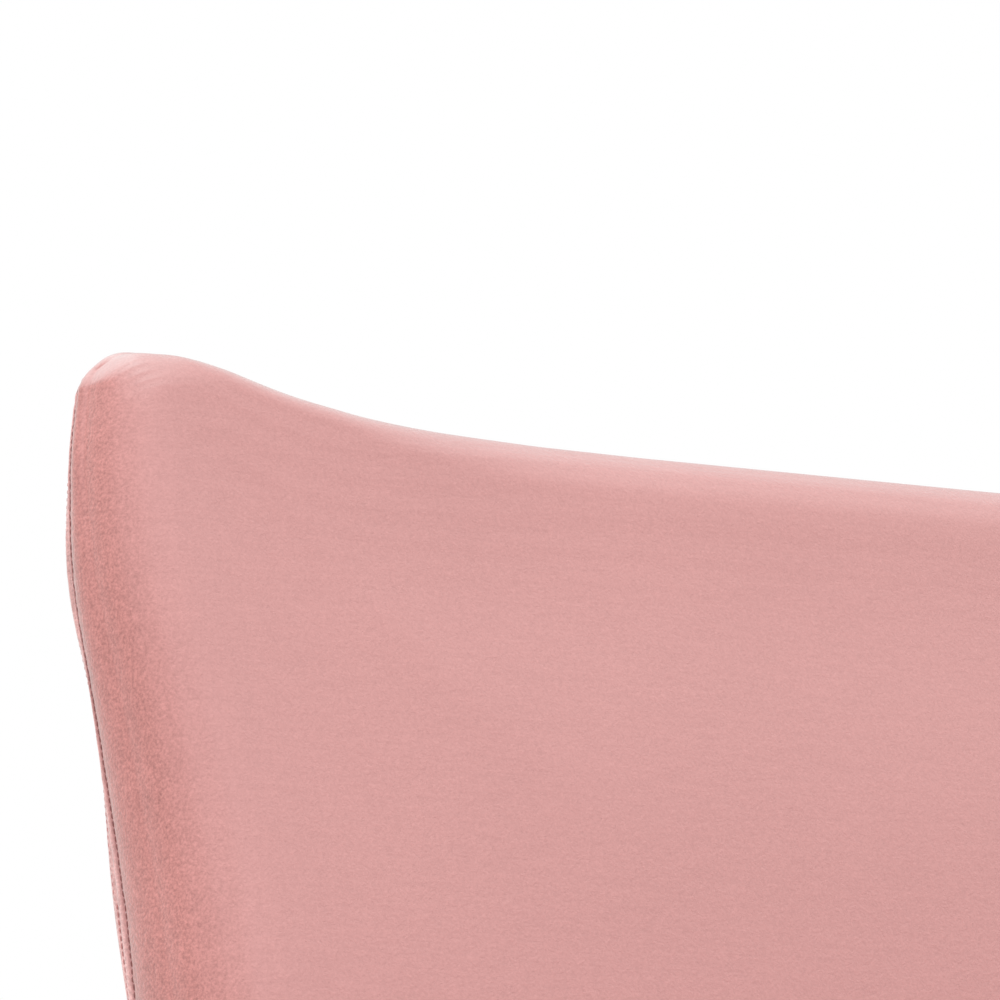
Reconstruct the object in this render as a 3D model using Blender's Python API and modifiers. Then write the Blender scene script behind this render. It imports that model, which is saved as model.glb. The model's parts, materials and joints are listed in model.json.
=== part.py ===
"""Glider nursery chair: a velvet armchair that glides on four hanging links and swivels on a ring base.

Run with: blender --background --python part.py, or from Blender's text editor.
Metres, +Z up. The chair faces -Y, so the sitter's left is +X. The origin is on the floor, on the swivel axis.
"""

import math

import bmesh
import bpy
from mathutils import Euler, Matrix, Vector

# Driving dimensions, in metres
GAP = 0.0003  # left between pieces that touch
SEAT_WIDTH = 0.524  # between the arms
ARM_WIDTH = 0.098
FRONT_Y = -0.400
HEM_Z = 0.085  # lower edge of the upholstery
ARM_TOP_Z = 0.630
CUSHION_TOP_Z = 0.460
CUSHION_REAR_Y = 0.147

# The back, in its own frame: x across, z up along its outer face,
# y = 0 on that face and -y towards the sitter
BACK_RECLINE = math.radians(9.0)
BACK_FOOT_Y = 0.2537  # where the outer face meets the height of the hem
BACK_HEIGHT = 0.943  # hem to the tops of the horns, along the slope
HORN_RISE = 0.0238  # horns above the straight top rail
HORN_SPREAD = 0.067  # width of the bell curve that the rail follows up to a horn
HORN_X = 0.317
HORN_CORNER = 0.024  # corner radius of the outline at a horn
# Half widths of the back, (x, z), from the hem up to where a horn begins
BACK_SIDES = ((0.343, 0.000), (0.342, 0.560), (0.345, 0.680), (0.352, 0.770), (0.3595, 0.850), (0.358, 0.885))
OUTSIDE_BACK_THICK = 0.015
BACK_TOP_THICK = 0.045
BACK_TAPER = 0.16  # extra thickness for each metre below the top
BACK_FULL_THICK = 0.139  # reached at seat height, and kept below it
INSIDE_BACK_FOOT = 0.244  # lower edge of the inside back, along the slope
FRAME_BAY_DEPTH = 0.036  # hollow behind the inside back, for the timber frame
FRAME_BAY_HALF = 0.240
FRAME_BAY_TOP = 0.872
WEB_WIDTH = 0.050  # of each strip of webbing
WEB_PITCH = (0.106, 0.094)  # between strips, across and up

# The base
RING_RADIUS = 0.270
RING_TUBE = 0.0125
RING_Z = 0.0165
PAD_RADIUS = 0.017
PAD_HEIGHT = 0.011
CROSS_BAR_HALF = 0.020
CROSS_Z = (0.009, 0.024)
HUB_RADIUS = 0.075
HUB_TOP_Z = 0.030
RACE_RADII = (0.030, 0.070)
CAGE_RADII = (0.036, 0.066)
SWIVEL_SHAFT = 0.006

# The glide mechanism: links hang from the channels, and the carriage hangs on the links
PLATE_Z = (0.047, 0.051)
PLATE_HALF = (0.195, 0.110)
SHEET = 0.004  # thickness of the channels' and carriage rails' steel
CHANNEL_FOOT_X = (0.150, 0.195)
CHANNEL_HALF_LENGTH = 0.198  # stays in front of the outside back when the seat is fully forward
UPRIGHT_X = (0.158, 0.164)
UPRIGHT_TOP_Z = 0.209
LINK_X = (0.172, 0.178)
LINK_HALF_WIDTH = 0.011
EAR_X = (0.184, 0.190)
EAR_HALF_WIDTH = 0.014
PIVOT_Y = 0.134  # each link hangs this far in front of or behind the swivel axis
UPPER_PIVOT_Z = 0.195
LOWER_PIVOT_Z = 0.085
PIVOT_SHAFT = 0.005
PIVOT_HEAD = 0.008
UPPER_BOLT_HEAD = 0.0042  # thickness of the outer heads; the upper ones pass inside the ears
LOWER_BOLT_HEAD = 0.005
HOLE_CLEARANCE = 0.0003
BUMPER_Z = 0.092
BUMPER_FACE_Y = 0.1865
CARRIAGE_Z = 0.2237  # top of the carriage rails' flange
CARRIAGE_BOLT = (0.208, 0.090)
CARRIAGE_BOLT_SHAFT = 0.004

# The seat frame
RAIL_Z = (0.2255, 0.2855)
RAIL_THICK = 0.025
FRAME_HALF_WIDTH = 0.2595
FRAME_Y = (-0.3475, 0.2275)
SLAT_X = (0.180, 0.230)
SLAT_TOP_Z = 0.2455
DECK_Z = (0.3005, 0.3125)
SPRING_X = (-0.18, -0.06, 0.06, 0.18)
SPRING_WIRE = 0.002

SIDES = (("left", 1), ("right", -1))
ENDS = (("front", -1), ("rear", 1))

for old in list(bpy.data.objects):
    bpy.data.objects.remove(old, do_unlink=True)

chair = bpy.data.collections.new("glider_nursery_chair")
cutters = bpy.data.collections.new("cutters")
bpy.context.scene.collection.children.link(chair)
bpy.context.scene.collection.children.link(cutters)


def material(name, color, roughness, metallic=0.0):
    made = bpy.data.materials.new(name)
    made.use_nodes = True
    shader = made.node_tree.nodes["Principled BSDF"]
    shader.inputs["Base Color"].default_value = (*color, 1.0)
    shader.inputs["Roughness"].default_value = roughness
    shader.inputs["Metallic"].default_value = metallic
    return made


VELVET = material("dusty_pink_velvet", (0.69, 0.35, 0.34), 0.85)
TICKING = material("deck_ticking", (0.72, 0.66, 0.58), 0.9)
DUST_CLOTH = material("black_dust_cloth", (0.03, 0.03, 0.03), 0.95)
WEBBING = material("jute_webbing", (0.42, 0.29, 0.16), 0.9)
BEECH = material("beech_rail", (0.60, 0.42, 0.25), 0.6)
PLYWOOD = material("birch_plywood", (0.68, 0.53, 0.34), 0.6)
BLACK_STEEL = material("black_powder_coat", (0.02, 0.02, 0.02), 0.45, 0.6)
GREY_STEEL = material("grey_pressed_steel", (0.30, 0.31, 0.32), 0.4, 1.0)
ZINC = material("zinc_plate", (0.62, 0.62, 0.60), 0.3, 1.0)
SPRING_STEEL = material("spring_steel", (0.20, 0.21, 0.23), 0.35, 1.0)
NYLON = material("white_nylon", (0.75, 0.75, 0.72), 0.5)
RUBBER = material("black_rubber", (0.02, 0.02, 0.02), 0.85)


def joint_empty(name, location):
    """An empty on a joint's axis, the parent of the pieces that turn about it."""
    empty = bpy.data.objects.new(name, None)
    empty.location = location
    empty.empty_display_size = 0.05
    chair.objects.link(empty)
    return empty


def place(obj, surface, parent, keep_world=True):
    """Adds a finished piece to the chair, with its material, under its body's empty."""
    chair.objects.link(obj)
    obj.data.materials.clear()
    obj.data.materials.append(surface)
    obj.parent = parent
    if keep_world:
        obj.matrix_parent_inverse = Matrix.Translation(-parent.location)
    return obj


def cuboid(name, x, y, z):
    """A box between two values on each axis, with its origin at its centre."""
    mesh = bpy.data.meshes.new(name)
    bm = bmesh.new()
    bmesh.ops.create_cube(bm, size=1.0)
    size = Vector((x[1] - x[0], y[1] - y[0], z[1] - z[0]))
    bmesh.ops.scale(bm, vec=size, verts=bm.verts)
    bm.to_mesh(mesh)
    bm.free()
    obj = bpy.data.objects.new(name, mesh)
    obj.location = ((x[0] + x[1]) / 2, (y[0] + y[1]) / 2, (z[0] + z[1]) / 2)
    return obj


def cylinder(name, radius, depth, location, rotation=(0.0, 0.0, 0.0), sides=24):
    mesh = bpy.data.meshes.new(name)
    bm = bmesh.new()
    bmesh.ops.create_cone(bm, cap_ends=True, segments=sides, radius1=radius, radius2=radius, depth=depth)
    bm.to_mesh(mesh)
    bm.free()
    mesh.shade_smooth()
    mesh.set_sharp_from_angle(angle=math.radians(40))
    obj = bpy.data.objects.new(name, mesh)
    obj.location = location
    obj.rotation_euler = rotation
    return obj


def torus(name, radius, tube):
    """The ring's shape, round Z at the height of the ring."""
    bpy.ops.mesh.primitive_torus_add(
        major_radius=radius, minor_radius=tube, major_segments=56, minor_segments=12,
        location=(0.0, 0.0, RING_Z),
    )
    obj = bpy.context.object
    obj.name = name
    obj.data.shade_smooth()
    for owner in list(obj.users_collection):
        owner.objects.unlink(obj)
    return obj


def turned(name, profile, steps=20, closed=False):
    """A solid of revolution about its own Z. The profile is (radius, height) from top to bottom."""
    mesh = bpy.data.meshes.new(name)
    points = [(radius, 0.0, height) for radius, height in profile]
    edges = [(i, i + 1) for i in range(len(points) - 1)]
    if closed:
        edges.append((len(points) - 1, 0))
    mesh.from_pydata(points, edges, [])
    obj = bpy.data.objects.new(name, mesh)
    screw = obj.modifiers.new("turn", "SCREW")
    screw.steps = steps
    screw.render_steps = steps
    screw.use_merge_vertices = True
    screw.merge_threshold = 0.00005
    screw.use_smooth_shade = False
    return obj


def ring_plate(name, radii, z):
    inner, outer = radii
    return turned(name, [(outer, z[1]), (outer, z[0]), (inner, z[0]), (inner, z[1])], 36, closed=True)


def plate(name, outline, holes, thickness):
    """A flat piece: a filled 2D curve in its own XY plane, with its holes as inner splines."""
    curve = bpy.data.curves.new(name, "CURVE")
    curve.dimensions = "2D"
    curve.fill_mode = "BOTH"
    curve.extrude = thickness / 2
    for loop in [outline, *holes]:
        spline = curve.splines.new("POLY")
        spline.points.add(len(loop) - 1)
        for point, (x, y) in zip(spline.points, loop):
            point.co = (x, y, 0.0, 1.0)
        spline.use_cyclic_u = True
    return bpy.data.objects.new(name, curve)


def arc(centre, radius, start, stop, steps):
    """Points round a centre in the plane, from one angle to another in degrees."""
    angles = [math.radians(start + (stop - start) * i / steps) for i in range(steps + 1)]
    return [(centre[0] + radius * math.cos(a), centre[1] + radius * math.sin(a)) for a in angles]


def round_hole(x, y, radius):
    return arc((x, y), radius, 0, 360, 16)[:-1]


def rounded_rectangle(half_x, half_y, radius, centre=(0.0, 0.0)):
    points = []
    for quarter, (sx, sy) in enumerate(((1, 1), (-1, 1), (-1, -1), (1, -1))):
        corner = (centre[0] + sx * (half_x - radius), centre[1] + sy * (half_y - radius))
        points += arc(corner, radius, 90 * quarter, 90 * quarter + 90, 3)
    return points


def soften(obj, width, segments=2):
    bevel = obj.modifiers.new("soft_edges", "BEVEL")
    bevel.width = width
    bevel.segments = segments
    bevel.limit_method = "ANGLE"
    bevel.angle_limit = math.radians(40)
    return obj


def combine(obj, other, operation):
    """A Boolean with a hidden guide object, kept in the cutters' collection."""
    cutters.objects.link(other)
    other.display_type = "WIRE"
    other.hide_render = True
    boolean = obj.modifiers.new(operation.lower(), "BOOLEAN")
    boolean.operation = operation
    boolean.solver = "EXACT"
    boolean.object = other
    return obj


def cut(obj, other):
    return combine(obj, other, "DIFFERENCE")


def join(obj, other):
    return combine(obj, other, "UNION")


def signed(side, low_high):
    """A range given for the left side, for either side."""
    low, high = low_high
    return (low, high) if side > 0 else (-high, -low)


ALONG_X = (0.0, math.radians(90), 0.0)
ALONG_Y = (math.radians(90), 0.0, 0.0)


# Bodies: each empty stands on the axis that its pieces turn about
base = joint_empty("base_body", (0.0, 0.0, 0.0))
swivel = joint_empty("swivel_body", (0.0, 0.0, 0.0))
seat = joint_empty("seat_body", (LINK_X[0], -PIVOT_Y, LOWER_PIVOT_Z))
link_bodies = {}
for end, front in ENDS:
    for side, sign in SIDES:
        pivot = (sign * sum(LINK_X) / 2, front * PIVOT_Y, UPPER_PIVOT_Z)
        link_bodies[end, side] = joint_empty(f"link_{end}_{side}_body", pivot)
back = bpy.data.objects.new("back_slope", None)
back.location = (0.0, BACK_FOOT_Y, HEM_Z)
back.rotation_euler = (-BACK_RECLINE, 0.0, 0.0)
chair.objects.link(back)
back.parent = seat
back.matrix_parent_inverse = Matrix.Translation(-seat.location)
BACK_MATRIX = Matrix.Translation(back.location) @ Euler(back.rotation_euler).to_matrix().to_4x4()


def build_base():
    place(torus("base_ring", RING_RADIUS, RING_TUBE), BLACK_STEEL, base)

    hub_z = (CROSS_Z[0], HUB_TOP_Z)
    cross = cylinder("base_cross", HUB_RADIUS, hub_z[1] - hub_z[0], (0.0, 0.0, sum(hub_z) / 2), sides=40)
    reach = RING_RADIUS - 0.008
    for name, half_x, half_y in (("bar_x", reach, CROSS_BAR_HALF), ("bar_y", CROSS_BAR_HALF, reach)):
        join(cross, cuboid(name, (-half_x, half_x), (-half_y, half_y), CROSS_Z))
    cut(cross, torus("ring_clearance", RING_RADIUS, RING_TUBE + GAP))
    cut(cross, cylinder("hub_bore", SWIVEL_SHAFT + HOLE_CLEARANCE, 0.1, (0.0, 0.0, 0.02)))
    place(cross, BLACK_STEEL, base)

    for number in range(4):
        turn = math.radians(45 + 90 * number)
        spot = (RING_RADIUS * math.cos(turn), RING_RADIUS * math.sin(turn), PAD_HEIGHT / 2)
        pad = cylinder(f"floor_pad_{number + 1}", PAD_RADIUS, PAD_HEIGHT, spot, sides=20)
        cut(pad, torus(f"pad_saddle_{number + 1}", RING_RADIUS, RING_TUBE + GAP))
        place(pad, NYLON, base)

    race_z = HUB_TOP_Z + GAP
    place(ring_plate("swivel_lower_race", RACE_RADII, (race_z, 0.0358)), GREY_STEEL, base)
    place(ring_plate("swivel_ball_cage", CAGE_RADII, (0.0361, 0.0416)), NYLON, base)
    place(ring_plate("swivel_upper_race", RACE_RADII, (0.0419, PLATE_Z[0] - GAP)), GREY_STEEL, swivel)

    head, nut = 0.012, 0.011
    under, over = CROSS_Z[0] - GAP, PLATE_Z[1] + GAP
    profile = [(0.0, 0.0575), (nut, 0.0575), (nut, over), (SWIVEL_SHAFT, over),
               (SWIVEL_SHAFT, under), (head, under), (head, 0.0035), (0.0, 0.0035)]
    place(turned("swivel_bolt", profile, 24), ZINC, base)


def build_swivel_frame():
    shaft_hole = round_hole(0.0, 0.0, SWIVEL_SHAFT + 0.0005)
    top = plate("swivel_plate", rounded_rectangle(*PLATE_HALF, 0.02), [shaft_hole], PLATE_Z[1] - PLATE_Z[0])
    top.location = (0.0, 0.0, sum(PLATE_Z) / 2)
    place(top, BLACK_STEEL, swivel)

    foot_z = (PLATE_Z[1] + GAP, PLATE_Z[1] + GAP + SHEET)
    rise_z = foot_z[0] + SHEET / 2
    hole = PIVOT_SHAFT + HOLE_CLEARANCE
    for side, sign in SIDES:
        length = (-CHANNEL_HALF_LENGTH, CHANNEL_HALF_LENGTH)
        channel = cuboid(f"glide_channel_{side}", signed(sign, CHANNEL_FOOT_X), length, foot_z)
        for end, front in ENDS:
            middle = front * PIVOT_Y
            upright_y = (middle - 0.020, middle + 0.020)
            upright = cuboid("upright", signed(sign, UPRIGHT_X), upright_y, (rise_z, UPRIGHT_TOP_Z))
            join(channel, upright)
            stop_y = signed(front, (CHANNEL_HALF_LENGTH - SHEET, CHANNEL_HALF_LENGTH))
            join(channel, cuboid("end_stop", signed(sign, (0.168, 0.1955)), stop_y, (rise_z, 0.110)))
            pivot = (sign * sum(UPRIGHT_X) / 2, middle, UPPER_PIVOT_Z)
            cut(channel, cylinder("pivot_hole", hole, 0.02, pivot, ALONG_X, 16))
        place(channel, GREY_STEEL, swivel)

    bumper_y = (BUMPER_FACE_Y, CHANNEL_HALF_LENGTH - SHEET - GAP)
    for end, front in ENDS:
        for side, sign in SIDES:
            spot = (sign * 0.186, front * sum(bumper_y) / 2, BUMPER_Z)
            bumper = cylinder(f"bumper_{end}_{side}", 0.008, bumper_y[1] - bumper_y[0], spot, ALONG_Y, 16)
            place(bumper, RUBBER, swivel)
            build_pivot_bolt(f"upper_pivot_bolt_{end}_{side}", UPRIGHT_X, LINK_X, sign,
                             front, UPPER_PIVOT_Z, UPPER_BOLT_HEAD, swivel)


def build_pivot_bolt(name, inner, outer, sign, front, z, outer_head, parent):
    """A shouldered bolt along X through two plates, with a spacer between them and a head at each end."""
    collar = PIVOT_HEAD + 0.0005
    stops = [inner[0] - GAP, inner[1] + GAP, outer[0] - GAP, outer[1] + GAP]
    start, finish = stops[0] - 0.005, stops[3] + outer_head
    profile = [(0.0, finish), (PIVOT_HEAD, finish), (PIVOT_HEAD, stops[3]), (PIVOT_SHAFT, stops[3]),
               (PIVOT_SHAFT, stops[2]), (collar, stops[2]), (collar, stops[1]), (PIVOT_SHAFT, stops[1]),
               (PIVOT_SHAFT, stops[0]), (PIVOT_HEAD, stops[0]), (PIVOT_HEAD, start), (0.0, start)]
    bolt = turned(name, profile, 14)
    bolt.location = (0.0, front * PIVOT_Y, z)
    bolt.rotation_euler = (0.0, sign * math.radians(90), 0.0)
    place(bolt, ZINC, parent)


def build_links():
    """Flat steel links. Each one's origin is the middle of its upper pivot hole."""
    length = UPPER_PIVOT_Z - LOWER_PIVOT_Z
    outline = arc((0.0, 0.0), LINK_HALF_WIDTH, 0, 180, 8)
    outline += arc((0.0, -length), LINK_HALF_WIDTH, 180, 360, 8)
    hole = PIVOT_SHAFT + HOLE_CLEARANCE
    holes = [round_hole(0.0, 0.0, hole), round_hole(0.0, -length, hole)]
    for end, front in ENDS:
        for side, sign in SIDES:
            link = plate(f"glide_link_{end}_{side}", outline, holes, LINK_X[1] - LINK_X[0])
            link.rotation_euler = (math.radians(90), 0.0, math.radians(90))
            place(link, GREY_STEEL, link_bodies[end, side], keep_world=False)


def build_carriage():
    flange_z = (CARRIAGE_Z - SHEET, CARRIAGE_Z)
    hole = PIVOT_SHAFT + HOLE_CLEARANCE
    bolt_x, bolt_y = CARRIAGE_BOLT
    bolt_hole = CARRIAGE_BOLT_SHAFT + HOLE_CLEARANCE
    for side, sign in SIDES:
        rail = cuboid(f"carriage_rail_{side}", signed(sign, (EAR_X[0], 0.228)), (-0.170, 0.170), flange_z)
        for end, front in ENDS:
            middle = front * PIVOT_Y
            ear_y = (middle - EAR_HALF_WIDTH, middle + EAR_HALF_WIDTH)
            ear_z = (LOWER_PIVOT_Z - EAR_HALF_WIDTH, CARRIAGE_Z - SHEET / 2)
            join(rail, cuboid("ear", signed(sign, EAR_X), ear_y, ear_z))
            pivot = (sign * sum(EAR_X) / 2, middle, LOWER_PIVOT_Z)
            cut(rail, cylinder("pivot_hole", hole, 0.02, pivot, ALONG_X, 16))
            through = (sign * bolt_x, front * bolt_y, CARRIAGE_Z)
            cut(rail, cylinder("bolt_hole", bolt_hole, 0.02, through, sides=16))
        place(rail, GREY_STEEL, seat)

    low, high = flange_z[0] - GAP, SLAT_TOP_Z + GAP
    profile = [(0.0, high + 0.005), (0.0075, high + 0.005), (0.0075, high), (CARRIAGE_BOLT_SHAFT, high),
               (CARRIAGE_BOLT_SHAFT, low), (PIVOT_HEAD, low), (PIVOT_HEAD, low - 0.005), (0.0, low - 0.005)]
    for end, front in ENDS:
        for side, sign in SIDES:
            build_pivot_bolt(f"lower_pivot_bolt_{end}_{side}", LINK_X, EAR_X, sign,
                             front, LOWER_PIVOT_Z, LOWER_BOLT_HEAD, seat)
            bolt = turned(f"carriage_bolt_{end}_{side}", profile, 14)
            bolt.location = (sign * bolt_x, front * bolt_y, 0.0)
            place(bolt, ZINC, seat)


def build_seat_frame():
    across = (-FRAME_HALF_WIDTH, FRAME_HALF_WIDTH)
    front_y, rear_y = FRAME_Y
    rails = (("front", (front_y, front_y + RAIL_THICK)), ("rear", (rear_y - RAIL_THICK, rear_y)))
    for end, rail_y in rails:
        place(soften(cuboid(f"seat_rail_{end}", across, rail_y, RAIL_Z), 0.002, 1), BEECH, seat)
    between = (FRAME_Y[0] + RAIL_THICK + GAP, FRAME_Y[1] - RAIL_THICK - GAP)
    bolt_x, bolt_y = CARRIAGE_BOLT
    bolt_hole = CARRIAGE_BOLT_SHAFT + HOLE_CLEARANCE
    for side, sign in SIDES:
        rail_x = signed(sign, (FRAME_HALF_WIDTH - RAIL_THICK, FRAME_HALF_WIDTH))
        place(soften(cuboid(f"seat_rail_{side}", rail_x, between, RAIL_Z), 0.002, 1), BEECH, seat)
        slat = cuboid(f"mechanism_slat_{side}", signed(sign, SLAT_X), between, (RAIL_Z[0], SLAT_TOP_Z))
        for end, front in ENDS:
            through = (sign * bolt_x, front * bolt_y, SLAT_TOP_Z)
            cut(slat, cylinder("bolt_hole", bolt_hole, 0.06, through, sides=16))
        place(slat, BEECH, seat)

    half_y = (FRAME_Y[1] - FRAME_Y[0]) / 2
    middle_y = (FRAME_Y[1] + FRAME_Y[0]) / 2
    corners = [(sx * bolt_x, sy * bolt_y - middle_y) for sx in (1, -1) for sy in (1, -1)]
    holes = [round_hole(x, y, bolt_hole) for x, y in corners]
    cover = plate("dust_cover", rounded_rectangle(FRAME_HALF_WIDTH, half_y, 0.01), holes, 0.0012)
    cover.location = (0.0, middle_y, 0.2246)
    place(cover, DUST_CLOTH, seat)

    for number, x in enumerate(SPRING_X):
        place(seat_spring(f"seat_spring_{number + 1}", x), SPRING_STEEL, seat)


def seat_spring(name, x):
    """One sinuous spring from the front rail to the rear rail, arched a little upwards."""
    start, finish = FRAME_Y[0] + 0.012, FRAME_Y[1] - 0.012
    waves, amplitude, arch = 9, 0.018, 0.007
    rest_z = RAIL_Z[1] + GAP + SPRING_WIRE
    count = waves * 4
    curve = bpy.data.curves.new(name, "CURVE")
    curve.dimensions = "3D"
    curve.bevel_depth = SPRING_WIRE
    curve.bevel_resolution = 2
    curve.use_fill_caps = True
    spline = curve.splines.new("POLY")
    spline.points.add(count)
    for i, point in enumerate(spline.points):
        along = i / count
        swing = amplitude * math.sin(2 * math.pi * waves * along + math.pi / 4)
        lift = arch * math.sin(math.pi * along)
        point.co = (x + swing, start + (finish - start) * along, rest_z + lift, 1.0)
    return bpy.data.objects.new(name, curve)


def build_seat_upholstery():
    deck_x = (-FRAME_HALF_WIDTH, FRAME_HALF_WIDTH)
    place(cuboid("seat_deck", deck_x, (FRAME_Y[0], 0.170), DECK_Z), TICKING, seat)
    cushion_z = (DECK_Z[1] + GAP, CUSHION_TOP_Z)
    cushion = cuboid("seat_cushion", (-0.2595, 0.2595), (FRONT_Y, CUSHION_REAR_Y), cushion_z)
    place(soften(cushion, 0.028, 3), VELVET, seat)
    apron_x = (GAP - SEAT_WIDTH / 2, SEAT_WIDTH / 2 - GAP)
    apron = cuboid("front_apron", apron_x, (FRONT_Y + 0.004, FRAME_Y[0] - GAP), (HEM_Z, DECK_Z[1]))
    place(soften(apron, 0.008), VELVET, seat)

    inner, outer = SEAT_WIDTH / 2, SEAT_WIDTH / 2 + ARM_WIDTH
    panel_x = ((inner + outer) / 2 - 0.0175, (inner + outer) / 2 + 0.0175)
    panel_y, panel_z = (FRONT_Y + 0.032, 0.200), (HEM_Z + 0.012, ARM_TOP_Z - 0.034)
    room = [(low - GAP, high + GAP) for low, high in (panel_x, panel_y, (HEM_Z - 0.05, panel_z[1]))]
    for side, sign in SIDES:
        arm = cuboid(f"arm_cover_{side}", signed(sign, (inner, outer)), (FRONT_Y, 0.45), (HEM_Z, ARM_TOP_Z))
        soften(arm, 0.016, 3)
        cut(arm, behind_plane(f"arm_{side}_end", -OUTSIDE_BACK_THICK - GAP))
        cut(arm, cuboid("panel_slot", signed(sign, room[0]), room[1], room[2]))
        place(arm, VELVET, seat)
        panel = cuboid(f"arm_panel_{side}", signed(sign, panel_x), panel_y, panel_z)
        place(soften(panel, 0.004, 1), PLYWOOD, seat)


def behind_plane(name, y):
    """Everything behind a plane of the back's own frame, as a cutter."""
    block = cuboid(name, (-0.6, 0.6), (y, y + 0.5), (-0.3, 1.2))
    block.matrix_world = BACK_MATRIX @ Matrix.Translation(block.location)
    return block


def back_outline(foot):
    """The outline of the back, counter-clockwise from the middle of its foot, in the back's x and z."""
    sides = [(x, max(z, foot)) for x, z in BACK_SIDES if z > foot]
    half = [(BACK_SIDES[0][0], foot), *sides]
    corner_x = BACK_SIDES[-1][0] - 0.004 - HORN_CORNER
    half += arc((corner_x, BACK_HEIGHT - HORN_CORNER), HORN_CORNER, 0, 90, 5)
    for step in range(10):
        x = HORN_X * (1 - step / 9)
        bell = math.exp(-(((HORN_X - x) / HORN_SPREAD) ** 2))
        half.append((x, BACK_HEIGHT - HORN_RISE * (1 - bell)))
    left = [(x, z) for x, z in half if x > 0.0]
    right = [(-x, z) for x, z in reversed(left)]
    return [(0.0, foot), *left, half[-1], *right]


def inside_back_face(z):
    """Depth of the inside back's front face at a height along the slope."""
    return -min(BACK_TOP_THICK + BACK_TAPER * (BACK_HEIGHT - z), BACK_FULL_THICK)


def back_slab(name, foot, rear_y, front_y, rounding, round_front):
    """A slab with the back's outline between two depths, with one of its two faces rounded at the rim."""
    mesh = bpy.data.meshes.new(name)
    bm = bmesh.new()
    rim = [bm.verts.new((x, rear_y, z)) for x, z in back_outline(foot)]
    rear_face = bm.faces.new(rim)
    moved = bmesh.ops.extrude_face_region(bm, geom=[rear_face])["geom"]
    front = [v for v in moved if isinstance(v, bmesh.types.BMVert)]
    for vert in front:
        vert.co.y = -1.0
    kink = BACK_HEIGHT - (BACK_FULL_THICK - BACK_TOP_THICK) / BACK_TAPER
    geometry = bm.verts[:] + bm.edges[:] + bm.faces[:]
    bmesh.ops.bisect_plane(bm, geom=geometry, plane_co=(0.0, 0.0, kink), plane_no=(0.0, 0.0, 1.0), dist=1e-6)
    for vert in bm.verts:
        if vert.co.y < rear_y - 1e-6:
            vert.co.y = front_y(vert.co.z)
    bmesh.ops.recalc_face_normals(bm, faces=bm.faces)
    rims = []
    for edge in bm.edges:
        turn = edge.calc_face_angle(0.0)
        on_front = all(v.co.y < rear_y - 1e-6 for v in edge.verts)
        on_rear = all(v.co.y > rear_y - 1e-6 for v in edge.verts)
        if turn > math.radians(50) and (on_front if round_front else on_rear):
            rims.append(edge)
    bmesh.ops.bevel(bm, geom=rims, offset=rounding, segments=3, profile=0.5,
                    affect="EDGES", clamp_overlap=True)
    bm.to_mesh(mesh)
    bm.free()
    return bpy.data.objects.new(name, mesh)


def to_back(obj, surface):
    """Adds a piece modelled in the back's own frame."""
    place(obj, surface, back, keep_world=False)
    return obj


def guide_on_back(obj):
    obj.matrix_world = BACK_MATRIX @ Matrix.Translation(obj.location)
    return obj


def build_back():
    outside = back_slab("outside_back", 0.0, 0.0, lambda z: -OUTSIDE_BACK_THICK, 0.008, round_front=False)
    to_back(outside, VELVET)

    rear = -OUTSIDE_BACK_THICK - GAP
    inside = back_slab("inside_back", INSIDE_BACK_FOOT, rear, inside_back_face, 0.022, round_front=True)
    bay = (rear - FRAME_BAY_DEPTH, rear + 0.05)
    bay_x = (-FRAME_BAY_HALF, FRAME_BAY_HALF)
    cut(inside, guide_on_back(cuboid("frame_bay", bay_x, bay, (0.0, FRAME_BAY_TOP))))
    for side, sign in SIDES:
        notch_x = signed(sign, (SEAT_WIDTH / 2 - 0.001, 0.6))
        cut(inside, cuboid(f"arm_notch_{side}", notch_x, (-0.2, 0.6), (0.0, ARM_TOP_Z + 0.001)))
    to_back(inside, VELVET)

    timber = (rear - 0.0005 - 0.030, rear - 0.0005)
    for side, sign in SIDES:
        post = cuboid(f"back_post_{side}", signed(sign, (0.190, 0.235)), timber, (0.145, 0.865))
        to_back(soften(post, 0.002, 1), BEECH)
    inner_half = 0.190 - GAP
    for name, rail_z in (("back_top_rail", (0.805, 0.865)), ("back_lower_rail", (0.345, 0.405))):
        to_back(soften(cuboid(name, (-inner_half, inner_half), timber, rail_z), 0.002, 1), BEECH)

    web_z = (0.350, 0.860)
    half_x, half_z = 0.230, (web_z[1] - web_z[0]) / 2
    half_gap_x, half_gap_z = ((pitch - WEB_WIDTH) / 2 for pitch in WEB_PITCH)
    around = ((-1, -1), (1, -1), (1, 1), (-1, 1))
    windows = []
    for column in range(4):
        for row in range(5):
            x = WEB_PITCH[0] * (column - 1.5)
            z = WEB_PITCH[1] * (row - 2)
            windows.append([(x + sx * half_gap_x, z + sz * half_gap_z) for sx, sz in around])
    outline = [(-half_x, -half_z), (half_x, -half_z), (half_x, half_z), (-half_x, half_z)]
    webbing = plate("back_webbing", outline, windows, 0.0025)
    webbing.location = (0.0, timber[0] - GAP - 0.00125, sum(web_z) / 2)
    webbing.rotation_euler = ALONG_Y
    to_back(webbing, WEBBING)


build_base()
build_swivel_frame()
build_links()
build_carriage()
build_seat_frame()
build_seat_upholstery()
build_back()
bpy.context.view_layer.update()
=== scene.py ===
import json
import math

import bpy
import numpy as np
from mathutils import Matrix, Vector
from mathutils.bvhtree import BVHTree
from mathutils.kdtree import KDTree


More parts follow.
